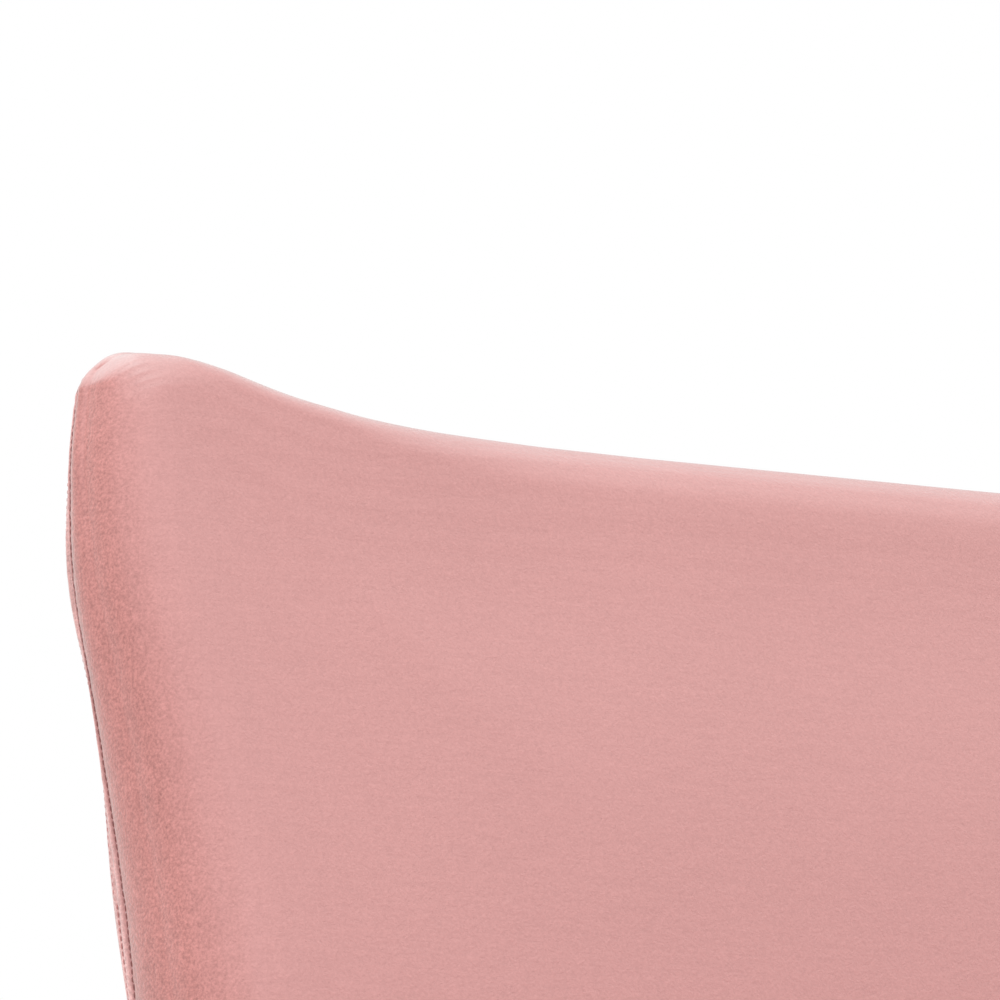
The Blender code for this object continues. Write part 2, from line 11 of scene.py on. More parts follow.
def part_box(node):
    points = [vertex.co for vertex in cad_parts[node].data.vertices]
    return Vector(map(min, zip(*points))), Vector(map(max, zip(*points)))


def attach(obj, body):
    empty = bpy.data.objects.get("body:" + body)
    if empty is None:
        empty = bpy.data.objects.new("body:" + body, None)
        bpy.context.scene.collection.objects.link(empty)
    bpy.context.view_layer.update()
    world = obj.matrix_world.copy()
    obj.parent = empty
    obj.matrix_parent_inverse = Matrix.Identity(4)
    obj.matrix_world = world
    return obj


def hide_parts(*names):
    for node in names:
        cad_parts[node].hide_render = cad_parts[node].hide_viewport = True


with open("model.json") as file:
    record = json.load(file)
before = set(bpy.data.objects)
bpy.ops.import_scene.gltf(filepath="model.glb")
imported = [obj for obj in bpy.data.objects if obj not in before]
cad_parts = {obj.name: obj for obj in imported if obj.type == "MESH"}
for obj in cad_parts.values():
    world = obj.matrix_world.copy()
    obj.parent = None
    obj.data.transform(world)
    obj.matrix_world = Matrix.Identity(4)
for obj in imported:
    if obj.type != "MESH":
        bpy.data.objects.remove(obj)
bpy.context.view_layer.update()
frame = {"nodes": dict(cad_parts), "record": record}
nodes = frame["nodes"]

# ---------------------------------------------------------------- sizes, all from the CAD frame, in metres
slope = math.radians(9.0)  # recline of the back
SIN, COS = math.sin(slope), math.cos(slope)
out_lo, out_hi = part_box("outside_back")
arm_lo, arm_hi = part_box("arm_cover_left")
cush_lo, cush_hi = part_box("seat_cushion")
apron_lo, apron_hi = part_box("front_apron")
deck_lo, deck_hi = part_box("seat_deck")
HEM = arm_lo.z
PANEL = 0.015  # thickness of the outside back
FOOT_Y = 0.2537
BACK_TOP = (out_hi.z - HEM - PANEL * SIN) / COS  # height of the horns along the slope
HALF = 0.343  # half width of the back at the hem
HORN_AT, HORN_RISE, HORN_SPREAD, HORN_POWER = 0.3223, 0.0221, 0.0521, 1.71
CORNER = 0.0161  # corner radius of the outline at a horn
SIDE_ROUND_Z = np.array([0.60, 0.80, 0.943])
SIDE_ROUND = np.array([0.045, 0.034, 0.024])  # radius between the front and the side bands
TOP_THICK, TAPER = 0.0398, 0.16
TOP_ROUND_X = np.array([0.09, 0.14, 0.19, 0.245, 0.29, 0.32, 0.36])
TOP_ROUND = np.array([0.030, 0.028, 0.022, 0.012, 0.0125, 0.018, 0.020])
# half width by height along the slope, from a least-squares fit to the outline in the photo
SIDE_Z = np.array([0.0, 0.560, 0.6266, 0.7257, 0.8001, 0.8497, 0.8827, 0.9116, 0.943])
SIDE_X = np.array([0.343, 0.344, 0.3462, 0.3494, 0.3545, 0.3611, 0.3590, 0.3571, 0.3475])
ARM_ROW = (arm_hi.z + 0.0012 - HEM) / COS  # row of the back that lies on the arms


def side_of(z):
    """Half width of the back at a height along the slope, smoothed."""
    return sum(np.interp(z + d, SIDE_Z, SIDE_X) for d in (-0.02, -0.01, 0.0, 0.01, 0.02)) / 5


def rail_of(x):
    """Drop of the top rail below the horns at a distance from the middle."""
    inboard = np.maximum(HORN_AT - np.abs(x), 0.0)
    return HORN_RISE * (1.0 - np.exp(-((inboard / HORN_SPREAD) ** HORN_POWER)))


def to_world(p):
    """From the back's own frame (x across, y to the rear, z up the slope) to the row frame."""
    x, y, z = p.T
    return np.stack([x, FOOT_Y + y * COS + z * SIN, HEM - y * SIN + z * COS], axis=1)


def smooth(a, b, t):
    t = np.clip((t - a) / (b - a), 0.0, 1.0)
    return t * t * (3.0 - 2.0 * t)


# ---------------------------------------------------------------- mesh tools
def lines(lo, hi, step, edge=0.0, fine=0.0, extra=()):
    """Grid lines from lo to hi, closer together within edge of each end."""
    if edge:
        n = max(2, round(edge / fine))
        m = max(2, round((hi - lo - 2 * edge) / step))
        a = np.linspace(lo, lo + edge, n + 1)
        b = np.linspace(lo + edge, hi - edge, m + 1)
        c = np.linspace(hi - edge, hi, n + 1)
        out = np.concatenate([a, b[1:], c[1:]])
    else:
        out = np.linspace(lo, hi, max(2, round((hi - lo) / step)) + 1)
    return np.array(sorted(set(np.round(np.concatenate([out, np.array(extra, float)]), 6))))


def grid(xs, ys, zs, leave_out=()):
    """Corners and quads on the surface of a box with those grid lines, facing outwards."""
    axes = (xs, ys, zs)
    index, corners, quads = {}, [], []

    def corner(key):
        if key not in index:
            index[key] = len(corners)
            corners.append([axes[n][key[n]] for n in range(3)])
        return index[key]

    for axis in range(3):
        a, b = ((1, 2), (2, 0), (0, 1))[axis]
        for end in (0, len(axes[axis]) - 1):
            if ("xyz"[axis], end > 0) in leave_out:
                continue
            for i in range(len(axes[a]) - 1):
                for j in range(len(axes[b]) - 1):
                    ring = []
                    for di, dj in ((0, 0), (1, 0), (1, 1), (0, 1)):
                        key = [0, 0, 0]
                        key[axis], key[a], key[b] = end, i + di, j + dj
                        ring.append(corner(tuple(key)))
                    quads.append(ring if end else ring[::-1])
    return np.array(corners, float), quads


def mesh_object(name, points, faces):
    mesh = bpy.data.meshes.new(name)
    mesh.from_pydata([tuple(p) for p in points], [], faces)
    mesh.shade_smooth()
    obj = bpy.data.objects.new(name, mesh)
    bpy.context.scene.collection.objects.link(obj)
    return obj


def points_of(mesh):
    co = np.zeros(len(mesh.vertices) * 3)
    mesh.vertices.foreach_get("co", co)
    return co.reshape(-1, 3)


def normals_of(mesh):
    no = np.zeros(len(mesh.vertices) * 3)
    mesh.vertices.foreach_get("normal", no)
    return no.reshape(-1, 3)


def set_points(obj, co):
    obj.data.vertices.foreach_set("co", co.astype(np.float32).ravel())
    obj.data.update()


def face_tree(obj):
    return BVHTree.FromPolygons(points_of(obj.data).tolist(), [tuple(p.vertices) for p in obj.data.polygons])


def keep_box(obj, box):
    """Each corner's place on the flat box, kept with the mesh so that it survives subdivision."""
    attribute = obj.data.attributes.new("box", "FLOAT_VECTOR", "POINT")
    attribute.data.foreach_set("vector", box.astype(np.float32).ravel())


def box_of(obj):
    box = np.zeros(len(obj.data.vertices) * 3, np.float32)
    obj.data.attributes["box"].data.foreach_get("vector", box)
    return box.reshape(-1, 3).astype(float)


def apply_modifiers(obj):
    graph = bpy.context.evaluated_depsgraph_get()
    baked = bpy.data.meshes.new_from_object(obj.evaluated_get(graph), depsgraph=graph)
    obj.modifiers.clear()
    obj.data = baked
    obj.data.shade_smooth()


def subdivide(obj, levels=1):
    modifier = obj.modifiers.new("smooth", "SUBSURF")
    modifier.levels = modifier.render_levels = levels
    apply_modifiers(obj)


def swell(points, faces, pinned, cap, pressure=4.0, frames=20):
    """Blows a coarse cover up with Cloth and gives how far each corner moved, at most cap."""
    obj = mesh_object("cloth_try", points, faces)
    group = obj.vertex_groups.new(name="pin")
    group.add([int(i) for i in np.nonzero(pinned)[0]], 1.0, "REPLACE")
    modifier = obj.modifiers.new("cloth", "CLOTH")
    cloth = modifier.settings
    cloth.quality = 6
    cloth.mass = 0.35
    cloth.tension_stiffness = cloth.compression_stiffness = 18.0
    cloth.shear_stiffness = 8.0
    cloth.bending_stiffness = 0.6
    cloth.use_pressure = True
    cloth.uniform_pressure_force = pressure
    cloth.vertex_group_mass = "pin"
    cloth.effector_weights.gravity = 0.0
    modifier.collision_settings.use_collision = False
    modifier.point_cache.frame_start, modifier.point_cache.frame_end = 1, frames
    scene = bpy.context.scene
    for number in range(1, frames + 1):
        scene.frame_set(number)
    graph = bpy.context.evaluated_depsgraph_get()
    moved = points_of(obj.evaluated_get(graph).data) - points
    scene.frame_set(1)
    bpy.data.objects.remove(obj)
    length = np.linalg.norm(moved, axis=1)
    moved *= np.where(length > cap, cap / np.maximum(length, 1e-9), 1.0)[:, None]
    return moved


def carry(coarse_box, moved, fine_box):
    """Takes the movement of a coarse cover over to a finer one, by their places on the flat box."""
    tree = KDTree(len(coarse_box))
    for i, p in enumerate(coarse_box):
        tree.insert(p, i)
    tree.balance()
    out = np.zeros((len(fine_box), 3))
    for i, p in enumerate(fine_box):
        total, weight = np.zeros(3), 0.0
        for _, j, d in tree.find_n(p, 6):
            w = 1.0 / (d * d + 1e-6)
            total += moved[j] * w
            weight += w
        out[i] = total / weight
    return out


def stitches(name, path, out, pitch=0.0032, length=0.0025, radius=0.00034):
    """A row of short thread dashes lying on a path of points, out being the surface's normals there."""
    path, out = np.asarray(path, float), np.asarray(out, float)
    step = np.linalg.norm(np.diff(path, axis=0), axis=1)
    along = np.concatenate([[0.0], np.cumsum(step)])
    count = int(along[-1] / pitch)
    points, faces = [], []
    for n in range(count):
        here = (n + 0.5) * pitch
        spots = np.array([here - length / 2, here - length / 5, here + length / 5, here + length / 2])
        at = np.stack([np.interp(spots, along, path[:, k]) for k in range(3)], axis=1)
        up = np.array([np.interp(here, along, out[:, k]) for k in range(3)])
        up /= np.linalg.norm(up)
        run = at[-1] - at[0]
        run /= np.linalg.norm(run)
        across = np.cross(up, run)
        first = len(points)
        for ring, (size, lift) in enumerate(((0.45, -0.5), (1.0, 0.35), (1.0, 0.35), (0.45, -0.5))):
            for turn in range(5):
                a = 2 * math.pi * turn / 5
                off = up * (lift + size * math.sin(a)) + across * size * math.cos(a)
                points.append(at[ring] + off * radius)
        for ring in range(3):
            for turn in range(5):
                a, b = first + ring * 5 + turn, first + ring * 5 + (turn + 1) % 5
                faces.append((a, b, b + 5, a + 5))
        faces.append(tuple(first + k for k in range(4, -1, -1)))
        faces.append(tuple(first + 15 + k for k in range(5)))
    return mesh_object(name, points, faces)


# ---------------------------------------------------------------- materials
class Surface:
    """A Principled material with a short way to add nodes. All patterns use object coordinates in metres."""

    def __init__(self, name, color, roughness, metallic=0.0, **fixed):
        self.material = bpy.data.materials.new(name)
        self.material.use_nodes = True
        self.material.diffuse_color = (*color, 1.0)
        self.tree = self.material.node_tree
        self.shader = self.tree.nodes["Principled BSDF"]
        self.shader.inputs["Base Color"].default_value = (*color, 1.0)
        self.shader.inputs["Roughness"].default_value = roughness
        self.shader.inputs["Metallic"].default_value = metallic
        for socket, value in fixed.items():
            self.shader.inputs[socket.replace("_", " ")].default_value = value
        self.place = self.add("TexCoord").outputs["Object"]

    def add(self, kind, inputs=(), **settings):
        node = self.tree.nodes.new("ShaderNode" + kind)
        for key, value in settings.items():
            setattr(node, key, value)
        for key, value in dict(inputs).items():
            if isinstance(value, bpy.types.NodeSocket):
                self.tree.links.new(value, node.inputs[key])
            else:
                node.inputs[key].default_value = value
        return node

    def math(self, operation, a, b=0.0, clamp=False):
        return self.add("Math", {0: a, 1: b}, operation=operation, use_clamp=clamp).outputs[0]

    def scaled(self, scale, turn=(0.0, 0.0, 0.0)):
        return self.add("Mapping", {"Vector": self.place, "Scale": scale, "Rotation": turn}).outputs[0]

    def noise(self, scale, detail=2.0, roughness=0.5, place=None, distortion=0.0):
        inputs = {"Vector": place or self.place, "Scale": scale, "Detail": detail, "Roughness": roughness,
                  "Distortion": distortion}
        return self.add("TexNoise", inputs).outputs["Fac"]

    def spread(self, value, low, high, out_low=0.0, out_high=1.0):
        inputs = {"Value": value, "From Min": low, "From Max": high, "To Min": out_low, "To Max": out_high}
        return self.add("MapRange", inputs, clamp=True).outputs[0]

    def mix(self, factor, a, b, blend="MIX"):
        node = self.add("Mix", {"Factor": factor}, data_type="RGBA", blend_type=blend)
        for key, value in ((6, a), (7, b)):
            if isinstance(value, bpy.types.NodeSocket):
                self.tree.links.new(value, node.inputs[key])
            else:
                node.inputs[key].default_value = (*value, 1.0)
        return node.outputs[2]

    def bump(self, height, distance, strength=1.0, below=None):
        inputs = {"Height": height, "Distance": distance, "Strength": strength}
        if below is not None:
            inputs["Normal"] = below
        return self.add("Bump", inputs).outputs[0]

    def set(self, **sockets):
        for socket, value in sockets.items():
            self.tree.links.new(value, self.shader.inputs[socket.replace("_", " ")])
        return self.material


# FRONT_PINK is the velvet's own colour; the other three are painted light and shade: darker side bands, lighter
# side strips on the back panel, lighter tops
FRONT_PINK = (0.553, 0.287, 0.277)
SIDE_PAINTED_SHADE_PINK = (0.474, 0.204, 0.188)
BACK_SIDE_PAINTED_LIGHT_PINK = (0.640, 0.375, 0.360)
TOP_PAINTED_LIGHT_PINK = (0.640, 0.460, 0.450)


def velvet_material(name, front_pink, painted_side_pink):
    s = Surface(name, front_pink, 0.92, Sheen_Weight=0.62, Sheen_Roughness=0.38,
                Sheen_Tint=(0.80, 1.0, 1.0, 1.0), Specular_IOR_Level=0.12)
    # painted shade and light chosen by the object-space normal: the side bands are painted a deeper, darker
    # pink as shade (on the back panel a lighter pink, as painted light), and faces that point up are painted
    # lighter, as light from above
    normal = s.add("TexCoord").outputs["Normal"]
    parts = s.add("SeparateXYZ", {0: normal})
    up = s.spread(parts.outputs["Z"], 0.33, 0.95)
    turned = s.math("ABSOLUTE", parts.outputs["X"])
    side = s.spread(s.math("MULTIPLY", turned, s.math("SUBTRACT", 1.0, up)), 0.08, 0.95)
    # painted light from above: lighter where the surface faces up and a little sideways, as on the horns
    light = s.math("MULTIPLY", up, s.spread(turned, 0.0, 0.40, 0.10, 1.0))
    # weight of the painted side colour, strongest where the band faces straight sideways
    painted_side_weight = s.math("POWER", side, 2.4)
    # the velvet's pink with the painted side shade and the painted top light mixed in
    painted_light_and_shade_pink = s.mix(light, s.mix(painted_side_weight, front_pink, painted_side_pink), TOP_PAINTED_LIGHT_PINK)
    # broad nap marks, brushed patches, and the grain of the pile
    broad = s.spread(s.noise(7.0, 3.0, 0.5, distortion=0.4), 0.3, 0.7, 0.985, 1.015)
    brushed = s.noise(38.0, 3.0, 0.55, distortion=0.8)
    patches = s.noise(280.0, 4.0, 0.65, distortion=0.5)
    grain = s.noise(800.0, 3.0, 0.65)
    mottling = s.math("ADD", s.math("MULTIPLY", patches, 0.22), s.math("MULTIPLY", grain, 0.78))
    # the random mottling is painted stronger on the side bands, as painted shade of the nap seen at a slant
    depth = s.math("ADD", s.math("MULTIPLY", painted_side_weight, 1.30), 0.34)
    small = s.math("ADD", s.math("MULTIPLY", s.math("SUBTRACT", mottling, 0.5), depth), 1.0)
    rubbed = s.math("MULTIPLY", s.math("SUBTRACT", brushed, 0.5), side)
    worn = s.math("ADD", s.math("MULTIPLY", rubbed, 0.22), 1.0)
    warp = s.noise(1.0, 2.0, 0.5, s.scaled((40.0, 40.0, 620.0)))
    weft = s.noise(1.0, 2.0, 0.5, s.scaled((620.0, 620.0, 40.0)))
    weave = s.math("ADD", s.math("MULTIPLY", s.math("SUBTRACT", s.math("ADD", warp, weft), 1.0), 0.09), 1.0)
    tone = s.math("MULTIPLY", s.math("MULTIPLY", s.math("MULTIPLY", broad, worn), small), weave)
    shade = s.add("CombineColor", {0: tone, 1: tone, 2: tone}).outputs[0]
    color = s.mix(1.0, painted_light_and_shade_pink, shade, "MULTIPLY")
    nap = s.bump(grain, 0.0008, 0.4)
    nap = s.bump(patches, 0.0010, 0.3, nap)
    rough = s.spread(patches, 0.3, 0.7, 0.86, 0.97)
    return s.set(Base_Color=color, Roughness=rough, Normal=nap)


def thread_material(name, color):
    s = Surface(name, color, 0.6, Sheen_Weight=0.1, Sheen_Roughness=0.4)
    turned = s.scaled((1.0, 1.0, 1.0), (0.5, 0.3, 0.6))
    twist = s.add("TexWave", {"Vector": turned, "Scale": 1500.0, "Distortion": 1.0}).outputs["Fac"]
    tone = s.spread(twist, 0.0, 1.0, 0.8, 1.05)
    shade = s.add("CombineColor", {0: tone, 1: tone, 2: tone}).outputs[0]
    return s.set(Base_Color=s.mix(1.0, color, shade, "MULTIPLY"), Normal=s.bump(twist, 0.0001, 0.5))


def metal_material(name, color, roughness, metallic, grain, wear):
    """Sheet, plated or coated metal: orange peel, dust in its roughness, and worn edges."""
    s = Surface(name, color, roughness, metallic)
    peel = s.noise(grain, 3.0, 0.6)
    cloud = s.noise(18.0, 4.0, 0.6)
    rub = s.spread(s.add("NewGeometry").outputs["Pointiness"], 0.50, 0.56)
    rub = s.math("MULTIPLY", rub, s.spread(s.noise(120.0, 3.0), 0.4, 0.6))
    dull = s.mix(s.spread(cloud, 0.35, 0.7, 0.0, 0.5), color, tuple(c * 0.8 for c in color))
    worn = s.mix(rub, dull, wear)
    smear = s.spread(cloud, 0.3, 0.7, roughness - 0.08, roughness + 0.1)
    rough = s.math("ADD", smear, s.math("MULTIPLY", peel, 0.05))
    return s.set(Base_Color=worn, Roughness=rough, Normal=s.bump(peel, 0.0002, 0.25))


def wood_material(name, light, dark, scale, length):
    s = Surface(name, light, 0.6)
    place = s.scaled(length)
    inputs = {"Vector": place, "Scale": scale, "Distortion": 5.0, "Detail": 3.0, "Detail Scale": 1.5}
    rings = s.add("TexWave", inputs, wave_type="RINGS").outputs["Fac"]
    fibre = s.noise(900.0, 3.0, 0.6, s.scaled(tuple(0.3 * v for v in length)))
    grain = s.mix(s.spread(rings, 0.1, 0.9), light, dark)
    fine = s.mix(s.spread(fibre, 0.45, 0.75, 0.0, 0.5), grain, tuple(c * 0.7 for c in dark))
    rough = s.spread(fibre, 0.3, 0.7, 0.52, 0.72)
    return s.set(Base_Color=fine, Roughness=rough, Normal=s.bump(fibre, 0.0003, 0.3))


def cloth_material(name, color, thread, roughness=0.92, stripe=None, stripe_width=0.0):
    """Plain-woven cloth with its threads as colour and bump, and stripes if asked for."""
    s = Surface(name, color, roughness, Sheen_Weight=0.15, Sheen_Roughness=0.5)
    turns = ((0.0, 0.0, 0.0), (0.0, 0.0, math.pi / 2), (0.0, math.pi / 2, 0.0))
    waves = [s.add("TexWave", {"Vector": s.scaled((1.0, 1.0, 1.0), turn), "Scale": thread, "Distortion": 0.6,
                               "Detail": 1.0}).outputs["Fac"] for turn in turns]
    weave = s.math("MULTIPLY", s.math("ADD", waves[0], s.math("ADD", waves[1], waves[2])), 0.333)
    slub = s.noise(160.0, 3.0, 0.6)
    base = color
    if stripe:
        across = s.add("TexWave", {"Vector": s.place, "Scale": stripe_width}).outputs["Fac"]
        base = s.mix(s.spread(across, 0.72, 0.8), color, stripe)
    shade = s.spread(weave, 0.2, 0.8, 0.78, 1.06)
    shade = s.math("MULTIPLY", shade, s.spread(slub, 0.3, 0.7, 0.93, 1.05))
    tone = s.add("CombineColor", {0: shade, 1: shade, 2: shade}).outputs[0]
    return s.set(Base_Color=s.mix(1.0, base, tone, "MULTIPLY"), Normal=s.bump(weave, 0.0004, 0.6))


def moulded_material(name, color, roughness):
    s = Surface(name, color, roughness)
    texture = s.noise(1400.0, 2.0, 0.5)
    cloud = s.noise(30.0, 4.0, 0.6)
    base = s.mix(s.spread(cloud, 0.35, 0.7), color, tuple(min(1.0, c * 1.25 + 0.01) for c in color))
    rough = s.spread(cloud, 0.3, 0.7, roughness - 0.07, roughness + 0.07)
    return s.set(Base_Color=base, Roughness=rough, Normal=s.bump(texture, 0.0002, 0.35))


looks = {
    "velvet": velvet_material("dusty_pink_velvet", FRONT_PINK, SIDE_PAINTED_SHADE_PINK),
    "ticking": cloth_material("deck_ticking", (0.72, 0.66, 0.58), 700.0,
                              stripe=(0.45, 0.40, 0.36), stripe_width=10.0),
    "dust_cloth": cloth_material("black_dust_cloth", (0.03, 0.03, 0.032), 600.0),
    "webbing": cloth_material("jute_webbing", (0.42, 0.29, 0.16), 320.0),
    "beech": wood_material("beech_rail", (0.62, 0.43, 0.26), (0.47, 0.29, 0.15), 14.0, (1.0, 1.0, 0.25)),
    "plywood": wood_material("birch_plywood", (0.70, 0.55, 0.36), (0.55, 0.39, 0.22), 60.0, (2.0, 0.3, 0.3)),
    "black_steel": metal_material("black_powder_coat", (0.022, 0.022, 0.023), 0.42, 0.3, 900.0,
                                  (0.07, 0.07, 0.07)),
    "grey_steel": metal_material("grey_pressed_steel", (0.33, 0.34, 0.35), 0.36, 1.0, 500.0,
                                 (0.55, 0.55, 0.55)),
    "zinc": metal_material("zinc_plate", (0.62, 0.62, 0.60), 0.30, 1.0, 700.0, (0.75, 0.75, 0.72)),
    "spring_steel": metal_material("spring_steel", (0.20, 0.21, 0.23), 0.35, 1.0, 800.0, (0.40, 0.40, 0.42)),
    "nylon": moulded_material("white_nylon", (0.75, 0.75, 0.72), 0.45),
    "rubber": moulded_material("black_rubber", (0.022, 0.022, 0.022), 0.82),
}
thread = thread_material("pink_thread", (0.60, 0.27, 0.26))
# the seam's own thread, made dark as a painted shadow line in the seam groove
seam_thread_and_painted_shadow = thread_material("dark_pink_thread_and_painted_seam_shadow", (0.26, 0.085, 0.080))
# the outside back's velvet: its side strips are painted a lighter pink, as painted light
back_velvet = velvet_material("dusty_pink_velvet_back_panel", FRONT_PINK, BACK_SIDE_PAINTED_LIGHT_PINK)

slot_of_node = {row["node"]: row["material_slot"] for row in frame["record"]["subparts"]}


def dress(obj, slot, surface=None, body="seat"):
    """Gives a finished piece its material, the slot's own unless another is given, and lets it ride on a body.
    """
    obj.data.materials.clear()
    obj.data.materials.append(surface or looks[slot])
    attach(obj, body)
    return obj


# ---------------------------------------------------------------- the back
SEAM_GAP = 0.0003
TOPSTITCH = 0.0052  # distance of the topstitch behind the seam
SEAM_THREAD = 0.0019  # distance of the seam's own thread in front of it
# depth of the rear seam by height along the slope, from the place of the seam in the photo
SEAM_Z = np.array([0.600, 0.660, 0.705, 0.746, 0.788, 0.845, 0.880, 0.943])
SEAM_Y = np.array([PANEL, 0.0112, 0.0104, 0.0094, 0.0073, 0.0067, 0.0078, 0.0085])
REAR_ROUND = 0.0055  # radius of the rear edge


def seam_depth(z):
    """How far in front of the rear face the rear seam runs: nearer to it above the arms."""
    return sum(np.interp(z + d, SEAM_Z, SEAM_Y) for d in (-0.016, -0.008, 0.0, 0.008, 0.016)) / 5


def front_depth(z):
    return np.minimum(TOP_THICK + TAPER * (BACK_TOP - z), 0.139)


def in_outline(x, z, corner):
    """Rounds the upper corners of the flat outline."""
    over_x, over_z = np.abs(x) - (HALF - corner), z - (BACK_TOP - corner)
    both = (over_x > 0) & (over_z > 0)
    most, length = np.maximum(over_x, over_z), np.maximum(np.hypot(over_x, over_z), 1e-9)
    x = np.where(both, np.sign(x) * (HALF - corner + over_x * most / length), x)
    z = np.where(both, BACK_TOP - corner + over_z * most / length, z)
    return x, z


def to_outline(x, z):
    """Bends the flat outline to the back's: sides that swell, and a top rail lower than its horns."""
    ramp = smooth(BACK_TOP - 0.30, BACK_TOP, z)
    wide = side_of(z) / HALF
    x = x * wide
    return x, z - rail_of(x) * ramp


def arc_inset(t, radius, reach):
    """Distance in from the outline and drop below the face, for a distance t over a rounded edge."""
    turn = np.minimum(t / radius, math.pi / 2)
    rest = np.maximum(t - radius * math.pi / 2, 0.0)
    scale = (reach - radius) / (reach - radius * math.pi / 2)
    inset = radius * (1 - np.cos(turn)) + rest * scale
    inset = np.where(t >= reach, t, inset)
    return inset, radius * (1 - np.sin(turn))


def top_radius(x):
    """How round the front of the top edge is: full in the middle, tight on the slopes, softer on horns."""
    return np.interp(np.abs(x), TOP_ROUND_X, TOP_ROUND)


def inside_back_shape(box):
    x, depth, z = box[:, 0], box[:, 1], box[:, 2]
    front = depth > 0.999
    tx, tz = HALF - np.abs(x), BACK_TOP - z
    near_x, near_z = 1.0 / np.maximum(tx, 1e-4) ** 3, 1.0 / np.maximum(tz, 1e-4) ** 3
    share = near_x / (near_x + near_z)
    radius = share * np.interp(z, SIDE_ROUND_Z, SIDE_ROUND) + (1 - share) * top_radius(x)
    reach = 0.10
    t = np.minimum(tx, tz)
    inset, drop = arc_inset(t, radius, reach)
    push = np.where(front, np.maximum(t - inset, 0.0), 0.0)
    way = np.hypot(share, 1 - share)
    px, pz = in_outline(x, z, CORNER)
    px = px + np.sign(x) * push * share / way
    pz = pz + push * (1 - share) / way
    px = np.clip(px, -HALF, HALF)
    wx, wz = to_outline(px, pz)
    full = front_depth(wz)
    # between the arms the cover is narrower: its outer part gives way
    rise = np.clip((z - ARM_ROW) / 0.010, 0.0, 1.0)
    wing = side_of(z) - 0.010 * (1 - np.sqrt(np.maximum(1 - (1 - rise) ** 2, 0.0)))
    half = np.where(z < ARM_ROW, arm_lo.x - 0.0012, wing)
    outer = np.maximum(np.abs(wx) - 0.15, 0.0)
    squeeze = (half - 0.15) / (side_of(z) - 0.15)
    wx = np.where(z < ARM_ROW + 0.012, np.sign(wx) * (np.minimum(np.abs(wx), 0.15) + outer * squeeze), wx)
    drop = np.where(z < ARM_ROW, drop * smooth(0.0, 0.03, ARM_ROW - z), drop)
    # the front face, the rounded edge, and the side band back to the rear seam
    inner = np.minimum(HALF - np.abs(wx), BACK_TOP - z)
    lumbar = np.exp(-(((z - 0.40) / 0.11) ** 2)) * smooth(0.0, 0.16, HALF - np.abs(wx))
    crown = 0.008 * smooth(0.0, 0.20, inner) + 0.010 * lumbar
    rear = -seam_depth(wz) - SEAM_GAP
    y = np.where(front, -(full - drop) - crown, rear - (full + rear - radius) * depth)
    # side bands bow out a little between seam and corner, and roll in at the seam
    band = np.where(front, 0.0, 4.0 * depth * (1 - depth))
    from_seam = np.where(front, 1.0, depth * (full + rear))
    roll = 0.0010 * np.exp(-((from_seam / 0.0009) ** 2))
    out = 0.0024 * band - roll
    wx = wx + np.sign(x) * out * share
    wz = wz + out * (1 - share)
    wz = wz + math.tan(slope) * y * (1 - smooth(0.60, 0.86, z))
    return to_world(np.stack([wx, y, wz], axis=1))


def seam_wobble(along, seed, pitch):
    """Uneven gathers along a seam: three waves of unlike lengths."""
    phase = np.random.default_rng(seed).uniform(0, 6.28, 4)
    envelope = 0.6 + 0.4 * np.sin(along / 0.037 + phase[3])
    turn = 2 * math.pi * along / pitch
    waves = sum(height * np.sin(turn / length + start)
                for height, length, start in zip((1.0, 0.7, 0.5), (1.0, 1.63, 0.57), phase))
    return waves * envelope / 2.2


